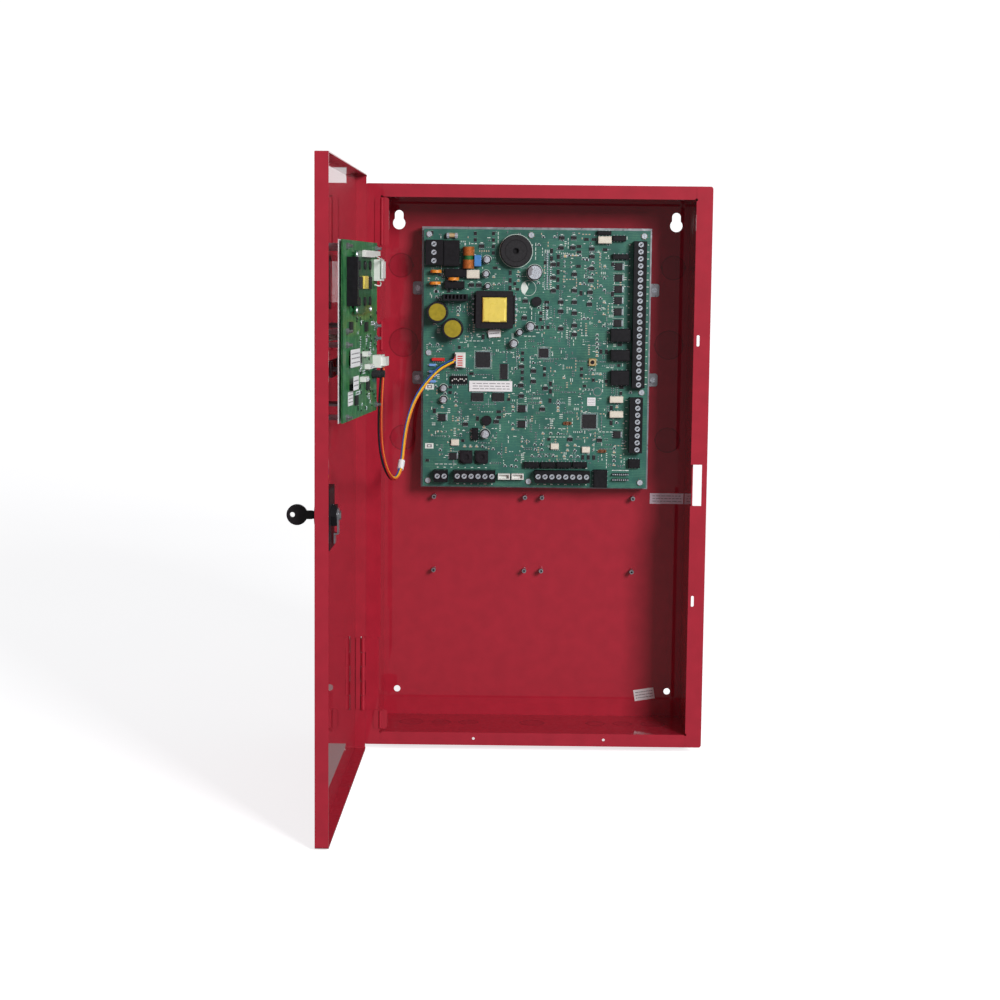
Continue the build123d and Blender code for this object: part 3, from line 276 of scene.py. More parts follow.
for wire_name, wire_rgb in WIRES.items():
    LOOK_TABLE["wire_" + wire_name] = (wire_rgb, 0.07, 300.0, (0.3, 0.42), dict(bump=0.1))
LOOKS = {name: look(name, tint(*rgb), spread, grain, rough, **extras)
         for name, (rgb, spread, grain, rough, extras) in LOOK_TABLE.items()}
lay_stripes(LOOKS["ferrite"], "Y", 1.1, 0.35)
lay_stripes(LOOKS["yellow_tape"], "Z", 3.4, 0.06)
lay_tracks(LOOKS["board_green"], tint(96, 156, 124), 0, 13.0)
lay_tracks(LOOKS["panel_green"], tint(112, 176, 108), pi / 2, 13.0)
lay_tracks(LOOKS["dark_green"], tint(62, 122, 74), pi / 2, 11.0)

OTHER_LOOKS = {"flange_straps": "red_enamel", "lcd_module": "dark_green", "hinge_frame_leaves": "red_enamel",
               "hinge_pins": "red_enamel", "hinge_door_leaves": "red_enamel", "lock_body": "black_plate",
               "lock_nut": "black_plate", "test_button": "black_plastic", "sounder": "chip_black",
               "chassis_screws": "tin"}


def finish_nodes():
    """Every CAD piece takes the look of its slot in the record, or the one named just above."""
    slots = {part["node"]: part["material_slot"] for part in frame["record"]["subparts"]}
    for name, node in nodes.items():
        node.data.materials.clear()
        node.data.materials.append(LOOKS[OTHER_LOOKS.get(name, slots[name])])


# ------------ mesh work


class Piece:
    """One visible piece, gathered from shapes that are laid out in millimetres on a face."""

    def __init__(self, name, on=BOARD, body="cabinet"):
        self.name, self.on, self.body, self.mesh = name, on, body, bmesh.new()

    def point(self, x, y, h):
        return self.mesh.verts.new(self.on @ Vector((x, y, h)))

    def box(self, x0, x1, y0, y1, h0, h1, turn=0.0):
        place = (Matrix.Translation(((x0 + x1) / 2, (y0 + y1) / 2, (h0 + h1) / 2))
                 @ Matrix.Rotation(radians(turn), 4, "Z")
                 @ Matrix.Diagonal((x1 - x0, y1 - y0, h1 - h0, 1)))
        bmesh.ops.create_cube(self.mesh, size=1, matrix=self.on @ place)

    def bar(self, x, y, width, height, h0, h1, turn=0.0):
        self.box(x - width / 2, x + width / 2, y - height / 2, y + height / 2, h0, h1, turn)

    def cone(self, place, radius, depth, top, sides):
        bmesh.ops.create_cone(self.mesh, cap_ends=True, segments=sides, radius1=radius, radius2=radius * top,
                              depth=depth, matrix=self.on @ place)

    def disc(self, x, y, radius, h0, h1, top=1.0, sides=32):
        self.cone(Matrix.Translation((x, y, (h0 + h1) / 2)), radius, h1 - h0, top, sides)

    def rod(self, x, y, h, radius, length):
        self.cone(Matrix.Translation((x, y, h)) @ Matrix.Rotation(pi / 2, 4, "Y"), radius, length, 1.0, 24)

    def skin(self, rows, closed):
        for near, far in zip(rows, rows[1:] + rows[:1] if closed else rows[1:]):
            for i in range(len(near)):
                j = (i + 1) % len(near)
                self.mesh.faces.new((near[i], near[j], far[j], far[i]))
        if not closed:
            self.mesh.faces.new(rows[0][::-1])
            self.mesh.faces.new(rows[-1])

    def band(self, x, y, inner, outer, h0, h1, start=0.0, stop=360.0, steps=40):
        """A flat ring or part of one."""
        closed = stop - start >= 360.0
        rows = []
        for i in range(steps if closed else steps + 1):
            angle = radians(start + (stop - start) * i / steps)
            rows.append([self.point(x + r * cos(angle), y + r * sin(angle), h)
                         for r, h in ((inner, h0), (outer, h0), (outer, h1), (inner, h1))])
        self.skin(rows, closed)

    def wire(self, spots, radius, closed=False, sides=8):
        """A round wire through the spots."""
        spots = [Vector(spot) for spot in spots]
        last, side, rows = len(spots) - 1, None, []
        turns = [2 * pi * k / sides for k in range(sides)]
        for i, spot in enumerate(spots):
            ahead = spots[(i + 1) % len(spots)] if closed or i < last else spot
            behind = spots[i - 1] if closed or i > 0 else spot
            along = (ahead - behind).normalized()
            side = along.orthogonal() if side is None else side
            side = (side - along * side.dot(along)).normalized()
            rise = along.cross(side)
            rows.append([self.point(*(spot + (side * cos(t) + rise * sin(t)) * radius)) for t in turns])
        self.skin(rows, closed)

    def outline(self, x0, x1, y0, y1, h0, h1, line):
        """A thin printed frame."""
        self.box(x0, x1, y0, y0 + line, h0, h1)
        self.box(x0, x1, y1 - line, y1, h0, h1)
        self.box(x0, x0 + line, y0 + line, y1 - line, h0, h1)
        self.box(x1 - line, x1, y0 + line, y1 - line, h0, h1)

    def done(self, slot, finish=None, bevel=0.0, replaces=(), ride=True):
        bmesh.ops.recalc_face_normals(self.mesh, faces=self.mesh.faces[:])
        data = bpy.data.meshes.new(self.name)
        self.mesh.to_mesh(data)
        self.mesh.free()
        data.shade_smooth()
        data.set_sharp_from_angle(angle=radians(38))
        piece = bpy.data.objects.new(self.name, data)
        scene.collection.objects.link(piece)
        data.materials.append(LOOKS[finish or slot])
        if bevel:
            soften = piece.modifiers.new("soften", "BEVEL")
            soften.width, soften.segments, soften.limit_method = bevel * MM, 2, "ANGLE"
            soften.angle_limit = radians(40)
        if ride:
            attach(piece, self.body)
        if replaces:
            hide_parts(*replaces)
        return piece


def pieces(*names, on=BOARD, body="cabinet"):
    """Several pieces, all laid out on one face."""
    return [Piece(name, on, body) for name in names]


def islands(node, on=BOARD):
    """The separate solids of a CAD node, each as (x0, x1, y0, y1, h0, h1) in millimetres on a face."""
    inverse = on.inverted()
    copy = bmesh.new()
    copy.from_mesh(nodes[node].data)
    bmesh.ops.remove_doubles(copy, verts=copy.verts[:], dist=0.02 * MM)
    seen, found = set(), []
    for start in copy.verts:
        if start in seen:
            continue
        group, queue = [], [start]
        seen.add(start)
        while queue:
            vert = queue.pop()
            group.append(inverse @ vert.co)
            for edge in vert.link_edges:
                other = edge.other_vert(vert)
                if other not in seen:
                    seen.add(other)
                    queue.append(other)
        spans = [(min(p[k] for p in group), max(p[k] for p in group)) for k in range(3)]
        found.append(spans[0] + spans[1] + spans[2])
    copy.free()
    return sorted(found)


# ------------ harness from the board to the door
HARNESS_ROUTE = [(-170.3, -236.6, 123.2), (-171.8, -235.0, 104.0), (-173.4, -227.5, 84.5),
                 (-174.4, -219.0, 63.0), (-174.6, -208.0, 41.0), (-172.8, -194.5, 19.5),
                 (-168.0, -178.0, 1.0), (-162.0, -160.0, -8.0), (-156.6, -144.5, -1.5),
                 (-154.3, -134.0, 15.5), (-153.0, -123.5, 35.0), (-149.8, -111.5, 56.0),
                 (-143.8, -99.0, 76.0), (-134.5, -86.5, 93.0), (-122.5, -74.0, 107.5),
                 (-111.5, -61.6, 117.8), (-99.2, -50.9, 123.2)]
HARNESS_R, WIRE_R, SLEEVE_REACH = 2.9, 0.88, 7.0
HARNESS_TURNS, HARNESS_START = 0.22, 0.35


def route_line(name, route):
    """The points of the smooth line that a route draws, in metres."""
    data = bpy.data.curves.new(name, "CURVE")
    data.dimensions = "3D"
    data.resolution_u = 10
    spline = data.splines.new("NURBS")
    spline.points.add(len(route) - 1)
    for point, spot in zip(spline.points, route):
        point.co = (*(Vector(spot) * MM), 1.0)
    spline.order_u = 3
    spline.use_endpoint_u = True
    carrier = bpy.data.objects.new(name, data)
    scene.collection.objects.link(carrier)
    line = bpy.data.meshes.new_from_object(carrier)
    spots = [vert.co.copy() for vert in line.vertices]
    bpy.data.objects.remove(carrier)
    bpy.data.curves.remove(data)
    bpy.data.meshes.remove(line)
    return spots


def add_harness():
    """Five wires, a little twisted, from the door's board down in a U and up to the main board."""
    line = route_line("harness_route", HARNESS_ROUTE)
    piece = Piece("harness", Matrix.Identity(4))
    flat = Vector((1.0, 0.0, 0.0))
    frames = []
    for i, spot in enumerate(line):
        along = (line[min(i + 1, len(line) - 1)] - line[max(i - 1, 0)]).normalized()
        flat = (flat - along * flat.dot(along)).normalized()
        frames.append((spot, flat.copy(), along.cross(flat)))
    strands = list(WIRES)
    spread = (HARNESS_R - WIRE_R) * MM
    for k in range(len(strands)):
        spots = []
        for i, (spot, side, rise) in enumerate(frames):
            share = i / (len(frames) - 1)
            turned = k / len(strands) + HARNESS_START + HARNESS_TURNS * share
            angle = 2 * pi * turned + 0.3 * sin(9 * share + 2.1 * k)
            reach = spread * (0.86 + 0.14 * sin(7 * share + 1.7 * k))
            spots.append(spot + (side * cos(angle) + rise * sin(angle)) * reach)
        before = len(piece.mesh.faces)
        piece.wire(spots, WIRE_R * MM, sides=12)
        for new_face in list(piece.mesh.faces)[before:]:
            new_face.material_index = k
    harness = piece.done("wire_jacket", "wire_" + strands[0], replaces=("harness_wires",), ride=False)
    for strand in strands[1:]:
        harness.data.materials.append(LOOKS["wire_" + strand])
    sleeve = add_sleeve(line)
    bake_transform(harness)
    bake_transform(sleeve)


def add_sleeve(line):
    """The white sleeve that holds the wires together, just past the lowest point of the U."""
    around = (Vector(HARNESS_ROUTE[8]) + Vector(HARNESS_ROUTE[9])) / 2 * MM
    middle = min(line, key=lambda spot: (spot - around).length)
    spots = [spot for spot in line if (spot - middle).length <= SLEEVE_REACH * MM]
    piece = Piece("harness_sleeve_tube", Matrix.Identity(4))
    piece.wire(spots, (HARNESS_R + 0.9) * MM, sides=24)
    return piece.done("white_sleeve", replaces=("harness_sleeve",), ride=False)


add_harness()
finish_nodes()

# ------------ the main board's small parts
LINE = 0.05                     # thickness of print on a board
PIN_PITCH, SCREW_PITCH = 2.54, 8.25
PRINT = ("white_plastic", "silk_white")


def add_small_parts():
    """Resistors and capacitors: a ceramic body between two tinned ends, with printed marks beside them."""
    body, tan_body, ends, marks = pieces("chip_resistors", "chip_capacitors", "chip_ends", "part_marks")
    pick = random.Random(7)
    for x0, x1, y0, y1, h0, h1 in islands("small_parts"):
        across = (x1 - x0) > (y1 - y0)
        kind = body if pick.random() < 0.62 else tan_body
        cap = 0.62 if across else 0.5
        if across:
            kind.box(x0 + cap, x1 - cap, y0 + 0.06, y1 - 0.06, 0, h1 - 0.04)
            ends.box(x0, x0 + cap, y0, y1, 0, h1)
            ends.box(x1 - cap, x1, y0, y1, 0, h1)
            ends.box(x0 - 0.5, x0, y0 + 0.1, y1 - 0.1, 0, 0.12)
            ends.box(x1, x1 + 0.5, y0 + 0.1, y1 - 0.1, 0, 0.12)
            marks.box(x0 + 0.3, x0 + 0.3 + pick.uniform(1.6, 3.0), y1 + 0.6, y1 + 0.6 + 0.7, 0, LINE)
        else:
            kind.box(x0 + 0.05, x1 - 0.05, y0 + cap, y1 - cap, 0, h1 - 0.04)
            ends.box(x0, x1, y0, y0 + cap, 0, h1)
            ends.box(x0, x1, y1 - cap, y1, 0, h1)
            marks.box(x1 + 0.5, x1 + 1.1, y0 + 0.2, y0 + 0.2 + pick.uniform(1.2, 2.2), 0, LINE)
    body.done("chip_black", bevel=0.08)
    tan_body.done("cream_plastic", "tan", bevel=0.08)
    ends.done("tin", bevel=0.08, replaces=("small_parts",))
    marks.done(*PRINT)


def leg_row(piece, x, y, span, pitch, along, outward):
    """Gull-wing legs along one side of a chip: a flat foot on the board and a riser at the side."""
    count = int((span - 1.0) / pitch) + 1
    for i in range(count):
        shift = (i - (count - 1) / 2) * pitch
        if along == "x":
            piece.bar(x + shift, y + outward * 0.85, 0.42, 0.7, 0, 0.16)
            piece.bar(x + shift, y + outward * 0.3, 0.42, 0.42, 0, 0.9)
        else:
            piece.bar(x + outward * 0.85, y + shift, 0.7, 0.42, 0, 0.16)
            piece.bar(x + outward * 0.3, y + shift, 0.42, 0.42, 0, 0.9)


def add_chip_legs():
    """Legs, a moulded dot and a printed outline for every chip."""
    legs, dots, prints = pieces("chip_legs", "chip_dots", "chip_prints")
    for x0, x1, y0, y1, h0, h1 in islands("logic_chips"):
        width, height = x1 - x0, y1 - y0
        x, y = (x0 + x1) / 2, (y0 + y1) / 2
        four_sided = min(width, height) > 10
        pitch = 1.0 if four_sided else 1.27
        if four_sided or width >= height:
            leg_row(legs, x, y1, width, pitch, "x", 1)
            leg_row(legs, x, y0, width, pitch, "x", -1)
        if four_sided or height > width:
            leg_row(legs, x1, y, height, pitch, "y", 1)
            leg_row(legs, x0, y, height, pitch, "y", -1)
        dots.disc(x0 + 0.9, y0 + 0.9, 0.35, h1 - 0.02, h1 + 0.03, sides=12)
        prints.bar(x, y1 + 2.0, min(3.0, width * 0.5), 0.75, 0, LINE)
        if four_sided:
            prints.outline(x0 - 2.0, x1 + 2.0, y0 - 2.0, y1 + 2.0, 0, LINE, 0.2)
    legs.done("tin")
    dots.done("white_plastic", "print_grey")
    prints.done(*PRINT)


DRIVER_W, DRIVER_H, DRIVER_T = 8.8, 8.4, 2.4


def add_drivers():
    """Driver transistors with a tab on the right, legs on the left and printed lines between them."""
    bodies, metal, prints = pieces("drivers", "driver_leads", "driver_prints")
    for x0, x1, y0, y1, h0, h1 in islands("driver_transistors"):
        x, y = (x0 + x1) / 2, (y0 + y1) / 2
        left, right = x - DRIVER_W / 2, x + DRIVER_W / 2
        bodies.bar(x, y, DRIVER_W, DRIVER_H, 0.1, DRIVER_T)
        bodies.bar(x - 0.6, y, DRIVER_W - 3.0, DRIVER_H - 2.6, DRIVER_T - 0.1, DRIVER_T + 0.12)
        metal.box(right - 0.2, right + 1.2, y - DRIVER_H / 2 + 0.8, y + DRIVER_H / 2 - 0.8, 0, 0.6)
        for shift in (-2.5, 0.0, 2.5):
            metal.bar(left - 0.9, y + shift, 2.0, 0.8, 0, 0.7)
        prints.box(left - 2.4, right + 2.2, y + DRIVER_H / 2 + 1.3, y + DRIVER_H / 2 + 1.55, 0, LINE)
        prints.box(right + 1.9, right + 2.2, y - DRIVER_H / 2, y + DRIVER_H / 2 + 1.3, 0, LINE)
    bodies.done("chip_black", bevel=0.25, replaces=("driver_transistors",))
    metal.done("tin", bevel=0.06, replaces=("transistor_tabs",))
    prints.done(*PRINT)


def add_knockout_rings():
    """Painted shade: a darker red in the shallow score round each knockout, and on the two nibs that hold
    it.
    """
    for name, on, inner, outer, top, nib_top in (("knockout_score_shade", WALL, 0.9, 0.5, 0.06, 0.12),
                                                 ("floor_score_shade", CABINET_FLOOR, 1.1, 0.6, 0.12, 0.2)):
        marks = Piece(name, on)
        for x0, x1, y0, y1, h0, h1 in islands("knockouts", on):
            x, y, radius = (x0 + x1) / 2, (y0 + y1) / 2, (x1 - x0) / 2
            if y1 - y0 > 5.0:
                marks.band(x, y, radius - inner, radius + outer, h1 - 0.2, h1 + top, steps=64)
                for side in (-1, 1):
                    marks.bar(x + side * radius, y, 1.5 + inner, 2.3 + inner, h1 - 0.2, h1 + nib_top)
        marks.done("pressed_red", "score_shade_red")


SCREW_SPOTS = [(-128.6, 272.7), (-7.8, 272.7), (126.0, 272.7), (-128.6, 132.7),
               (126.0, 87.7), (-128.6, -20.5), (-7.8, -20.5), (126.0, -20.5)]


def add_screw_rings():
    """Dots of bare copper round each board screw."""
    rings = Piece("ground_rings")
    for x, y in SCREW_SPOTS:
        for i in range(8):
            angle = radians(45 * i + 22.5)
            rings.disc(x + 4.1 * cos(angle), y + 4.1 * sin(angle), 0.35, 0, 0.1, sides=10)
    rings.done("brass", "copper_pad")


# ------------ power section
CHOKE_X, CHOKE_Y, CHOKE_R = -81.8, 245.4, 6.4
CORE_X, CORE_Y, CORE_W = -50.5, 184.6, 44.0
FUSE_X, FUSE_Y, FUSE_R = -101.5, 271.2, 2.6
BIG_CANS = [(-117.9, 181.1, 12.2, 21), (-99.7, 161.7, 12.2, 21)]
SOUNDER = (-25.7, 253.8)
COIL_SPOTS = ((-82.9, 8.5), (-64.2, 8.5))
BLUE_X = -70.9                  # the blue box capacitor, and the can of the CAD it stands round
SMALL_CANS = [(-60.0, 243.4, 4.4, 11), (-61.0, 226.6, 3.9, 11), (-58.9, 212.3, 3.2, 9),
              (-7.7, 164.9, 5.0, 11), (-20.3, 157.9, 3.6, 8), (-27.2, 144.6, 4.6, 11),
              (-110.4, 90.7, 4.2, 8), (-110.3, 77.0, 4.2, 8), (-60.3, 36.4, 5.2, 9),
              (-3.4, 228.8, 8.8, 16)]


def add_choke_windings():
    """Copper wire wound round both ends of the choke, with a green band between them."""
    copper, middle = pieces("choke_windings", "choke_band")

    def wind(piece, shift, count, pitch, radius, wire):
        for i in range(count):
            y = CHOKE_Y + shift + (i - (count - 1) / 2) * pitch
            ring = [(CHOKE_X + radius * cos(t), y, 1.4 + CHOKE_R + radius * sin(t))
                    for t in (2 * pi * k / 28 for k in range(28))]
            piece.wire(ring, wire, closed=True, sides=6)

    wind(copper, -7.6, 9, 1.15, CHOKE_R, 0.56)
    wind(copper, 7.6, 9, 1.15, CHOKE_R, 0.56)
    wind(middle, 0, 5, 0.95, 5.3, 0.48)
    copper.done("green_winding", "copper")
    middle.done("green_winding")


def add_transformer_details():
    """Bobbin flange, tape ends, pins and solder round the transformer."""
    flange, pins, tape = pieces("transformer_flange", "transformer_pins", "transformer_tape")
    half = CORE_W / 2
    for side in (-1, 1):
        flange.bar(CORE_X + side * (half + 1.2), CORE_Y, 2.2, 34.0, 1.2, 9.0)
        flange.bar(CORE_X, CORE_Y + side * 15.3, 30.8, 1.2, 3.0, 22.6)
        flange.bar(CORE_X + side * 17.0, CORE_Y, 6.0, 27.0, 0.4, 4.0)
        for i in range(5):
            y = CORE_Y + (i - 2) * 6.2
            pins.bar(CORE_X + side * (half + 3.0), y, 2.4, 0.9, 0.1, 1.6)
            pins.disc(CORE_X + side * (half + 3.8), y, 1.3, 0, 0.5, 0.6, sides=14)
    tape.box(CORE_X - 6.5, CORE_X + 7.0, CORE_Y - 14.2, CORE_Y + 14.2, 25.4, 25.7)
    tape.box(CORE_X - 13.2, CORE_X + 13.4, CORE_Y + 2.0, CORE_Y + 8.2, 25.45, 25.8)
    flange.done("black_plastic", bevel=0.3)
    pins.done("tin", bevel=0.1)
    tape.done("yellow_tape", bevel=0.1)


def add_can_tops():
    """Vented metal tops inside the sleeves, with the dark stripe that marks one side."""
    tops, stripes, olive, rims = pieces("can_tops", "can_stripes", "big_can_tops", "can_rims")
    for x, y, radius, height in SMALL_CANS:
        tops.disc(x, y, radius - 0.55, height - 0.3, height + 0.12, 0.97)
        stripes.band(x, y, radius * 0.42, radius - 0.75, height, height + 0.16, 120, 215, 12)
        rims.band(x, y, radius - 0.7, radius + 0.08, height - 0.6, height + 0.3)
        stripes.bar(x, y, radius * 1.3, 0.18, height, height + 0.15)
        stripes.bar(x, y, 0.18, radius * 1.3, height, height + 0.15)
    for x, y, radius, height in BIG_CANS:
        olive.disc(x, y, radius - 1.9, height - 0.3, height + 0.15, 0.98, sides=48)
        rims.band(x, y, radius - 2.0, radius + 0.1, height - 0.8, height + 0.45, steps=48)
        for angle in (90, 210, 330):
            olive.bar(x + 4.0 * cos(radians(angle)), y + 4.0 * sin(radians(angle)), 7.6, 0.35,
                      height + 0.1, height + 0.3, angle)
    tops.done("tin")
    stripes.done("can_sleeve", "print_grey")
    olive.done("can_sleeve", "can_olive", bevel=0.1)
    rims.done("can_sleeve", bevel=0.12)


def add_fuse():
    """A glass fuse in two spring clips on a moulded base."""
    base, metal = pieces("fuse_base", "fuse_clips")
    base.bar(FUSE_X, FUSE_Y, 13.0, 5.8, 0, 2.2)
    base.rod(FUSE_X, FUSE_Y, 4.9, FUSE_R - 0.3, 9.0)
    for x in (FUSE_X - 4.9, FUSE_X + 4.9):
        metal.rod(x, FUSE_Y, 4.9, FUSE_R, 3.4)
        for side in (-1, 1):
            metal.bar(x, FUSE_Y + side * 2.9, 2.6, 0.5, 0.5, 6.2)
    base.done("cream_plastic", "tan", bevel=0.2)
    metal.done("tin", bevel=0.12)


def add_power_parts():
    """The remaining parts near the mains entry: blocks, fins, discs and their leads."""
    blue, pale, red, oval, leads, coil, sound = pieces(
        "film_capacitors", "light_blue_resistors", "red_header", "crystals", "part_leads", "coil_bases",
        "sounder_painted_shade")
    # Painted shade on the sounder: a black disc down in its hole, and darker rings at the hole's rim and in
    # the groove near its edge.
    sound.band(*SOUNDER, 12.6, 13.2, 13.4, 13.75, steps=64)
    sound.band(*SOUNDER, 3.0, 3.9, 13.3, 13.8)
    sound.disc(*SOUNDER, 3.3, 9.0, 9.4)
    blue.box(BLUE_X - 4.1, BLUE_X + 4.1, 235.2, 248.4, 0.1, 12.9)
    for y in (118.0, 110.0, 105.0, 98.5):
        pale.box(-128.0, -120.0, y - 1.6, y + 1.6, 0.5, 3.4)
        for x in (-129.0, -119.0):
            leads.bar(x, y, 2.2, 0.6, 0.2, 1.6)
            leads.disc(x, y, 0.9, 0, 0.35, 0.6, sides=12)
    red.box(-124.6, -109.4, 123.0, 126.6, 0, 5.2)
    for i in range(6):
        leads.bar(-122.5 + 2.2 * i, 121.6, 0.6, 1.6, 0, 1.0)
    for x, y in ((38.0, 50.0), (80.0, 17.0)):
        oval.bar(x, y, 6.8, 3.8, 0, 3.2)
        for side in (-1, 1):
            oval.disc(x + side * 3.4, y, 1.9, 0, 3.2, sides=20)
    for x, y in ((-120.2, 228.9), (-121.2, 215.1), (-99.4, 220.2)):
        for side in (-1, 1):
            leads.disc(x + side * 2.5, y, 1.0, 0, 0.5, 0.5, sides=12)
    for x, y in COIL_SPOTS:
        coil.bar(x, y, 15.4, 15.4, 0.2, 3.6)
        coil.band(x, y, 3.6, 6.6, 6.4, 6.9)
        for side in (-1, 1):
            leads.bar(x + side * 6.4, y - 6.4, 2.6, 2.2, 0, 1.4)
    coil.done("ferrite", bevel=0.9)
    sound.done("black_plastic", "black_plate", bevel=0.12)
    blue.done("blue_block", bevel=0.6)
    pale.done("blue_block", "light_blue", bevel=0.7)
    red.done("red_plastic", bevel=0.25)
    oval.done("ferrite", "brown", bevel=0.3)
    leads.done("tin", bevel=0.08)


def add_relay_tops():
    """Raised lids, and the legs that show beside the relays and housings."""
    lids, pale_lids, legs = pieces("relay_lids", "housing_marks", "housing_legs")
    for node, piece in (("relay_housings", lids), ("signal_relays", pale_lids)):
        for x0, x1, y0, y1, h0, h1 in islands(node):
            if min(x1 - x0, y1 - y0) < 4.5:
                continue
            piece.box(x0 + 1.4, x1 - 1.4, y0 + 1.4, y1 - 1.4, h1 - 0.1, h1 + 0.22)
            wide = (x1 - x0) >= (y1 - y0)
            for i in range(4):
                share = (i + 0.5) / 4
                if wide:
                    for y in (y0 - 0.5, y1 + 0.5):
                        legs.bar(x0 + (x1 - x0) * share, y, 0.7, 1.2, 0, 0.9)
                else:
                    for x in (x0 - 0.5, x1 + 0.5):
                        legs.bar(x, y0 + (y1 - y0) * share, 1.2, 0.7, 0, 0.9)
    lids.done("black_plastic", bevel=0.15)
    pale_lids.done("cream_plastic", bevel=0.15)
    legs.done("tin", bevel=0.06)


def add_pin_rows():
    """Bare pins in plated holes, and the block of paired pins near the lower right corner."""
    pins, sockets = pieces("pin_rows", "pin_sockets")
    for x0, x1, y0, y1, h0, h1 in islands("pin_headers"):
        across = (x1 - x0) > (y1 - y0)
        count = round(max(x1 - x0, y1 - y0) / PIN_PITCH)
        for i in range(count):
            shift = (i + 0.5) * PIN_PITCH
            x, y = (x0 + shift, (y0 + y1) / 2) if across else ((x0 + x1) / 2, y0 + shift)
            pins.disc(x, y, 0.95, 0, 0.12, sides=14)
            wide, tall = (1.3, 8.0) if across else (0.64, 1.4)
            pins.bar(x, y, wide, wide, 0, tall)
            if across:
                sockets.bar(x, y, 2.3, 2.3, 0, 2.4)
    pins.done("tin", bevel=0.06)
    sockets.done("black_plastic", bevel=0.2, replaces=("pin_headers",))


def add_screw_slot_shade():
    """Painted shade in the cross slot of each terminal screw: dark bars over its top."""
    slots = Piece("screw_slot_shade")
    for x0, x1, y0, y1, h0, h1 in islands("terminal_screws"):
        x, y = (x0 + x1) / 2, (y0 + y1) / 2
        slots.bar(x, y, 4.6, 0.9, h1 - 0.3, h1 + 0.03, 35)
        slots.bar(x, y, 0.7, 3.0, h1 - 0.3, h1 + 0.03, 35)
    slots.done("black_plastic", "black_plate")


TEST_X, TEST_Y = 66.9, 123.3
OPTION_X, OPTION_Y = -91.8, 100.7


def add_option_legs():
    """Legs of the option switch and the test switch, and the test switch's bright plate."""
    legs = Piece("option_legs")
    for i in range(8):
        x = OPTION_X + (i - 3.5) * 2.35
        for side in (-1, 1):
            legs.bar(x, OPTION_Y + side * 5.6, 0.8, 1.8, 0, 0.9)
    for side in (-1, 1):
        for shift in (-2.6, 2.6):
            legs.bar(TEST_X + side * 5.0, TEST_Y + shift, 1.8, 0.9, 0, 0.6)
    legs.done("tin", bevel=0.08)
    plate = Piece("test_switch_plate")
    plate.band(TEST_X, TEST_Y, 2.35, 3.9, 3.5, 3.85)
    for x in (-3.2, 3.2):
        for y in (-3.2, 3.2):
            plate.disc(TEST_X + x, TEST_Y + y, 0.55, 3.5, 3.9, sides=12)
    plate.done("brass", "tan", bevel=0.05)


# ------------ print and labels


def add_board_prints():
    """White print of the main board: rings, rows of plain marks and two framed boxes."""
    prints, shadow = pieces("board_prints", "board_icons")
    prints.band(*SOUNDER, 19.4, 19.9, 0, LINE, steps=64)
    prints.band(-10.5, 210.2, 8.7, 9.1, 0, LINE)
    prints.band(-10.5, 210.2, 0.6, 8.6, 0, LINE, 120, 240, 20)
    shadow.band(73.4, 88.0, 4.6, 5.3, 0, LINE)
    for x, y, radius, height in SMALL_CANS:
        prints.band(x, y, radius + 0.7, radius + 1.1, 0, LINE, 0, 300, 26)
    for x0, x1, y0, y1 in ((-132.2, -122.2, 88.6, 95.2), (-132.2, -122.2, 17.8, 24.2)):
        prints.box(x0, x1, y0, y1, 0, LINE)
        shadow.box(x0 + 2.0, x1 - 2.0, y0 + 1.3, y1 - 1.3, LINE, 2 * LINE)
        prints.box(x0 + 3.6, x1 - 3.6, y0 + 2.4, y1 - 2.4, 2 * LINE, 3 * LINE)
    pick = random.Random(21)
    for x, top, count, step in ((131.0, 262.5, 21, SCREW_PITCH), (109.0, 262.5, 21, SCREW_PITCH),
                                (108.4, 77.9, 8, SCREW_PITCH), (16.0, 253.0, 18, PIN_PITCH),
                                (7.6, 191.6, 8, PIN_PITCH)):
        for i in range(count):
            prints.bar(x, top - i * step, pick.uniform(1.2, 2.6), 0.8, 0, LINE)
    for x, step, count, y in ((-116.9, SCREW_PITCH, 8, -4.6), (3.6, SCREW_PITCH, 8, -4.0),
                              (-92.9, SCREW_PITCH, 6, -24.4), (3.6, SCREW_PITCH, 8, -24.0),
                              (93.4, PIN_PITCH, 8, -6.2)):
        for i in range(count):
            prints.bar(x + i * step, y, pick.uniform(1.2, 3.4), 0.9, 0, LINE)
    for i in range(150):
        x, y = pick.uniform(-130, 84), pick.uniform(-2, 262)
        prints.bar(x, y, pick.uniform(1.0, 3.4), 0.65, 0, LINE, pick.choice((0, 0, 0, 90)))
    prints.done(*PRINT)
    shadow.done("chip_black", "print_grey")


ON_BOARD = ("side_terminal_strips", "mains_terminal_block", "low_terminal_blocks", "transformer_core",
            "choke", "sounder", "capacitor_cans", "varistors", "heatsink", "inductors", "relay_housings",
            "signal_relays", "logic_chips", "driver_transistors", "option_switches", "test_switch",
            "board_connectors", "small_parts", "harness_plug", "chassis_screws")
KEPT_CLEAR = [(-82.0, -26.0, 85.0, 101.5), (59.0, 73.0, 69.0, 83.0), (-134.0, -120.0, 86.0, 128.0),
              (-134.0, -120.0, 15.0, 27.0), (-126.0, -96.0, 114.0, 134.0), (-20.0, -1.0, 200.0, 220.0),
              (-112.0, -92.0, 266.0, 276.0)]
CROWD_AREA, GAP = (-131.5, 107.5, -3.0, 276.0), 0.7


class Room:
    """Keeps track of which places on the main board are taken."""

    def __init__(self):
        self.taken = list(KEPT_CLEAR)
        for node in ON_BOARD:
            for x0, x1, y0, y1, h0, h1 in islands(node):
                if h0 > -3.0:
                    self.taken.append((x0, x1, y0, y1))

    def take(self, x0, x1, y0, y1):
        """True, and the place is taken, if nothing is there yet."""
        for a0, a1, b0, b1 in self.taken:
            if x0 - GAP < a1 and x1 + GAP > a0 and y0 - GAP < b1 and y1 + GAP > b0:
                return False
        self.taken.append((x0, x1, y0, y1))
        return True


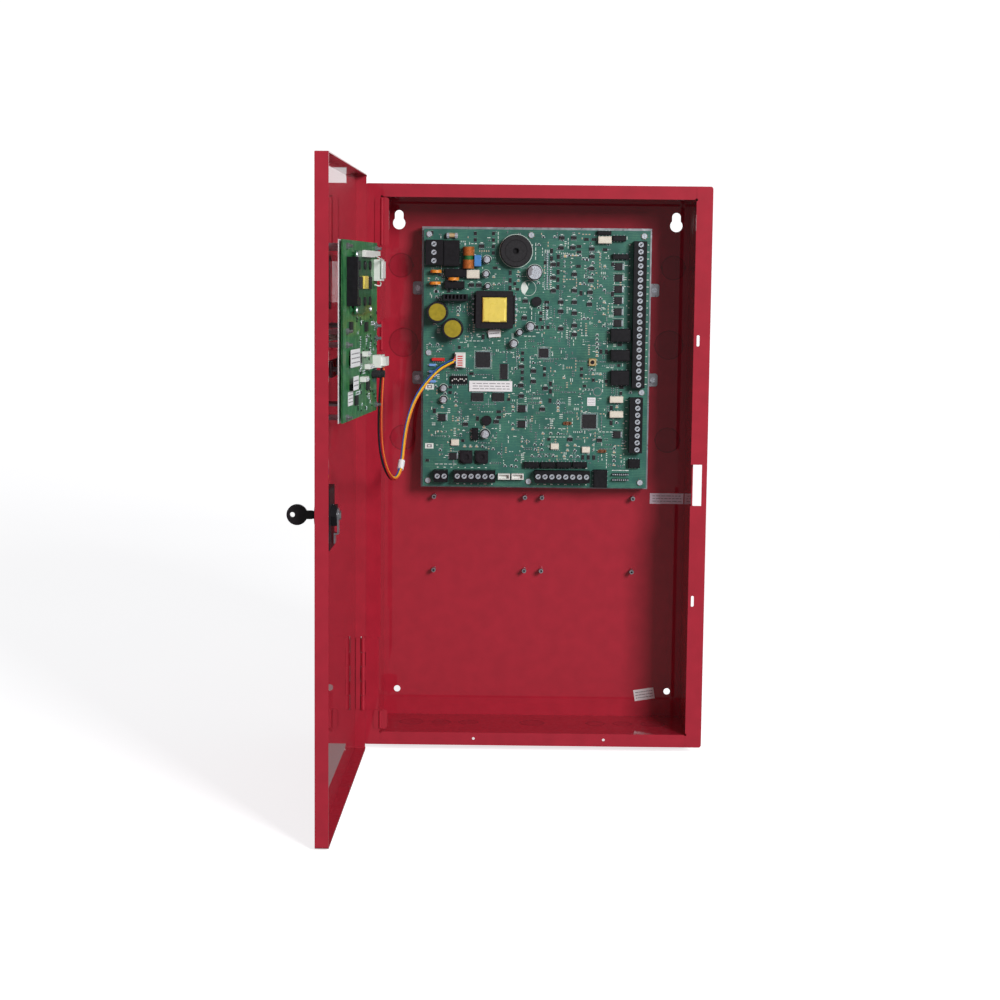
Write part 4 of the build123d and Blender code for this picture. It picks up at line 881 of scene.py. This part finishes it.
def add_crowd():
    """Fills the free places between the modelled parts with more of the same small parts and print."""
    room, pick = Room(), random.Random(33)
    left, right, low, high = CROWD_AREA
    resistors, capacitors, chips, ends, prints = pieces(
        "crowd_resistors", "crowd_capacitors", "crowd_chips", "crowd_ends", "crowd_prints")
    for kind, tries in (("chip", 80), ("part", 420), ("print", 420)):
        for i in range(tries):
            x, y = pick.uniform(left + 0.5, right - 0.5), pick.uniform(low, high)
            across, upward, dark = pick.random() < 0.5, pick.random() < 0.6, pick.random() < 0.75
            long, short = {"chip": (pick.choice((4.2, 5.6)), 3.2), "part": (2.3, 1.2),
                           "print": (pick.uniform(1.2, 4.2), 0.7)}[kind]
            w, h = (long, short) if across else (short, long)
            step = (h if upward else w) + (3.4 if kind == "chip" else 1.5)
            for k in range(pick.choice((1, 2, 3, 5))):
                cx, cy = (x, y + k * step) if upward else (x + k * step, y)
                on_board = left < cx < right and low < cy < high
                if not (on_board and room.take(cx - w / 2, cx + w / 2, cy - h / 2, cy + h / 2)):
                    continue
                if kind == "print":
                    prints.bar(cx, cy, w, h, 0, LINE)
                    continue
                if kind == "chip":
                    chips.bar(cx, cy, w, h, 0.1, 1.1)
                    inset, size = 0.0, 0.4
                else:
                    (resistors if dark else capacitors).bar(cx, cy, w - 0.2, h - 0.2, 0, 0.7)
                    inset, size = 0.25, 0.5
                for side in (-1, 1):
                    if across:
                        ends.bar(cx + side * (w / 2 - inset), cy, size, h * 0.9, 0, 0.75)
                    else:
                        ends.bar(cx, cy + side * (h / 2 - inset), w * 0.9, size, 0, 0.75)
    resistors.done("chip_black")
    capacitors.done("cream_plastic", "tan")
    chips.done("chip_black", bevel=0.12)
    ends.done("tin")
    prints.done(*PRINT)


def add_solder_dots():
    """Tinned holes and test pads over the board, in short rows."""
    dots = Piece("solder_dots")
    pick = random.Random(5)
    for i in range(90):
        x, y = pick.uniform(-128, 84), pick.uniform(0, 262)
        across = pick.random() < 0.5
        for k in range(pick.randint(2, 7)):
            spot = (x + 2.2 * k, y) if across else (x, y - 2.2 * k)
            if -132 < spot[0] < 108 and -4 < spot[1] < 276:
                dots.disc(spot[0], spot[1], 0.5, 0, 0.12, 0.7, sides=10)
    for x in (8.2, 15.2):
        for i in range(20):
            dots.disc(x, 253.0 - 2.3 * i, 0.45, 0, 0.1, 0.7, sides=10)
    dots.done("tin")


def printed_label(name, on, x0, x1, y0, y1, lines, turn=0.0, paper="label_paper", h=0.0, body="cabinet"):
    """A paper label with rows of plain bars in place of print."""
    middle = Matrix.Translation(((x0 + x1) / 2, (y0 + y1) / 2, h)) @ Matrix.Rotation(radians(turn), 4, "Z")
    half_w, half_h = (x1 - x0) / 2, (y1 - y0) / 2
    sheet = Piece(name, on @ middle, body)
    sheet.box(-half_w, half_w, -half_h, half_h, 0, 0.15)
    sheet.done("white_plastic", paper, bevel=0.05)
    bars = Piece(name + "_bars", on @ middle, body)
    step = 2 * half_h / (lines + 1)
    pick = random.Random(len(name) + lines)
    for i in range(lines):
        y, x = half_h - step * (i + 1), -half_w + 0.08 * 2 * half_w
        while x < half_w * 0.8:
            length = pick.uniform(0.05, 0.16) * 2 * half_w
            bars.box(x, min(x + length, half_w * 0.88), y - step * 0.13, y + step * 0.13, 0.13, 0.2)
            x += length + 0.025 * 2 * half_w
    bars.done("white_plastic", "print_grey")


def add_labels():
    """Every label of the main board, the back wall and the display board."""
    printed_label("board_label", BOARD, -79.9, -28.5, 87.1, 99.7, 3, h=2.0)
    printed_label("square_label", BOARD, 61.4, 71.2, 71.1, 80.9, 4)
    printed_label("turned_tag", BOARD, -57.6, -43.6, 152.0, 160.6, 1, 6.0, h=4.2)
    printed_label("wall_label", WALL, 141.0, 182.0, -50.0, -37.0, 3, paper="label_mauve")
    printed_label("corner_label", WALL, 126.0, 151.0, -294.0, -280.0, 3, 9.0)
    printed_label("panel_label_upper", PANEL, -72.6, -16.4, -37.0, -19.0, 3, h=2.4, body="door")
    printed_label("panel_label_middle", PANEL, -71.6, -41.0, -59.8, -45.8, 2, h=5.1, body="door")
    printed_label("panel_label_lower", PANEL, -73.8, -44.8, -75.6, -61.4, 3, body="door")


# ------------ the door's board


PANEL_PADS = ((-2.0, -8.0, 2, 5), (33.0, -8.6, 2, 4), (59.0, -16.0, 3, 4), (2.0, -28.0, 2, 6),
              (14.0, -44.0, 6, 2), (-21.0, -64.0, 8, 2), (50.0, -70.0, 4, 3), (66.0, 6.0, 6, 2))


def add_panel_parts():
    """What stands on the display board: connectors, chips, legs, screws and the yellow taped part."""
    pale, dark, tape, metal, prints, edge = pieces(
        "panel_connectors", "panel_chips", "panel_tape", "panel_pins", "panel_prints", "panel_edge",
        on=PANEL, body="door")
    deck = 3.4 + PCB_T
    pale.box(-22.0, 38.0, 74.4, 80.4, deck, deck + 4.2)
    pale.box(82.0, 104.0, 52.5, 71.0, 8.0, 9.6)
    for i in range(5):
        pale.box(-20.0 + 12 * i, -12.0 + 12 * i, 80.4, 81.4, deck, deck + 3.0)
    dark.box(-43.0, -27.0, 41.6, 54.4, deck, deck + 2.0)
    dark.box(14.6, 30.6, 41.4, 54.4, deck, deck + 2.0)
    tape.box(-19.8, 3.6, 41.9, 55.1, deck, deck + 2.6)
    for i in range(6):
        y = 53.4 - 2.2 * i
        tape.box(-20.4, 4.2, y - 0.35, y + 0.35, deck, deck + 2.8)
        for x in (-44.2, -25.8, 13.4, 31.8):
            metal.bar(x, y, 1.8, 0.7, deck, deck + 0.9)
    for x0, y0, columns, rows in PANEL_PADS:
        for i in range(columns):
            for k in range(rows):
                metal.disc(x0 + PIN_PITCH * i, y0 - PIN_PITCH * k, 0.8, 0, 0.5, 0.6, sides=12)
    pick = random.Random(11)
    for i in range(90):
        x, y = pick.uniform(-30, 100), pick.uniform(-86, 16)
        across = pick.random() < 0.5
        width, height = (pick.uniform(2.4, 4.0), 1.5) if across else (1.5, pick.uniform(2.4, 4.0))
        kind = dark if pick.random() < 0.7 else metal
        kind.bar(x, y, width, height, 0, 0.8)
        prints.bar(x + 3.2, y + 2.0, pick.uniform(1.0, 3.0), 0.7, 0, LINE)
    for x0, x1, y0, y1, h0, h1 in islands("display_sockets", PANEL):
        if h1 < 8 and y1 < 60:
            for i in range(int((x1 - x0) / PIN_PITCH) - 1):
                metal.bar(x0 + 2.0 + PIN_PITCH * i, (y0 + y1) / 2, 0.7, 0.7, h1 - 1, h1 + 2.2)
    for x in (-53.0, 32.0):
        for y in (20.5, 76.5):
            metal.disc(x, y, 2.6, deck, deck + 1.2, 0.8)
    for side in (-1, 1):
        edge.bar(side * 103.85, 0, 0.9, 181.4, -PCB_T - 0.05, 0.08)
    pale.done("white_plastic", bevel=0.3)
    dark.done("chip_black", bevel=0.15)
    tape.done("yellow_tape", bevel=0.2)
    metal.done("tin", bevel=0.08)
    prints.done(*PRINT)
    edge.done("panel_green")


def add_panel_wires():
    """Two short white lead loops beside the white connectors at the top of the display board."""
    loops = Piece("panel_lead_loops", PANEL, "door")
    for start, end, reach in (((40.0, 76.0, 9.6), (92.0, 74.0, 7.0), 5.0),
                              ((96.0, 48.5, 5.0), (76.0, 46.0, 2.0), 4.0)):
        spots = []
        for i in range(15):
            share = i / 14
            drop = 4 * share * (1 - share) * reach
            spots.append(Vector(start).lerp(Vector(end), share) + Vector((0, -drop * 0.6, drop * 0.7)))
        loops.wire(spots, 0.75, sides=10)
    loops.done("white_plastic")


PLUG_X, PLUG_Y, PLUG_H = -99.6, 123.6, 14.6


def add_plug_contacts():
    """Coloured wires fanning out of the plug on the main board, and its red slots."""
    fans = {"red": 129.0, "orange": 126.4, "yellow": 123.8, "blue": 121.2, "black": 118.6}
    for wire_name, y in fans.items():
        tail = Piece("plug_wire_" + wire_name)
        spots = []
        for i in range(9):
            share = i / 8
            spots.append((PLUG_X + 4.4 * share, PLUG_Y + (y - PLUG_Y) * share * share * (3 - 2 * share),
                          PLUG_H - 2.6 * share))
        tail.wire(spots, WIRE_R, sides=10)
        tail.done("wire_jacket", "wire_" + wire_name)
    slots = Piece("plug_slots")
    for y in fans.values():
        slots.bar(-90.8, y, 6.0, 1.3, 13.9, 14.15)
    slots.done("red_plastic")


add_small_parts()
add_chip_legs()
add_drivers()
add_knockout_rings()
add_screw_rings()
add_choke_windings()
add_transformer_details()
add_can_tops()
add_fuse()
add_power_parts()
add_relay_tops()
add_option_legs()
add_pin_rows()
add_screw_slot_shade()
add_board_prints()
add_crowd()
add_solder_dots()
add_labels()
add_panel_parts()
add_panel_wires()
add_plug_contacts()

# ------------ floor and light
FLOOR_GLOW = 0.85


def add_floor():
    """A plain white floor just under the open door, that sweeps up into a backdrop behind the cabinet."""
    floor_z = cad_box[0][2] - 0.002
    half, front, seam, back, radius, top = 9.0, -7.0, 0.7, 3.2, 1.2, 7.0
    pale = look("floor_pale", (0.86, 0.86, 0.87, 1.0), 0.01, 3.0, (0.7, 0.8), shine=0.0, glow=FLOOR_GLOW)
    sweep = [(seam, floor_z)]
    for i in range(13):
        angle = radians(7.5 * i)
        sweep.append((back - radius + radius * sin(angle), floor_z + radius - radius * cos(angle)))
    sweep.append((back, top))
    for name, profile in (("floor", [(front, floor_z), (seam, floor_z)]), ("backdrop", sweep)):
        verts = [(x, y, z) for y, z in profile for x in (-half, half)]
        faces = [(2 * i, 2 * i + 1, 2 * i + 3, 2 * i + 2) for i in range(len(profile) - 1)]
        data = bpy.data.meshes.new(name)
        data.from_pydata(verts, [], faces)
        data.shade_smooth()
        data.materials.append(pale)
        sheet = bpy.data.objects.new(name, data)
        sheet.visible_diffuse = False
        sheet.visible_glossy = name == "backdrop"
        scene.collection.objects.link(sheet)


def add_light(name, place, aim, size, power, glints=True):
    """A square softbox that faces a point."""
    data = bpy.data.lights.new(name, "AREA")
    data.shape, data.size, data.energy = "SQUARE", size, power
    light = bpy.data.objects.new(name, data)
    light.location = place
    light.visible_glossy = glints
    light.rotation_euler = (Vector(aim) - Vector(place)).to_track_quat("-Z", "Y").to_euler()
    scene.collection.objects.link(light)


def add_world(strength):
    """Even white light from all round."""
    world = bpy.data.worlds.new("studio")
    world.use_nodes = True
    put(world.node_tree.nodes["Background"], Color=(1.0, 1.0, 1.0, 1.0), Strength=strength)
    scene.world = world


add_floor()
add_world(0.23)
add_light("bounce", (0.5, -1.5, -1.3), (-0.1, 0.0, 0.2), 1.4, 16.0, glints=False)
add_light("key", (1.45, -2.7, 1.05), (-0.02, 0.0, 0.05), 0.9, 84.0)
scene.view_settings.view_transform = "Standard"
scene.view_settings.look = "None"
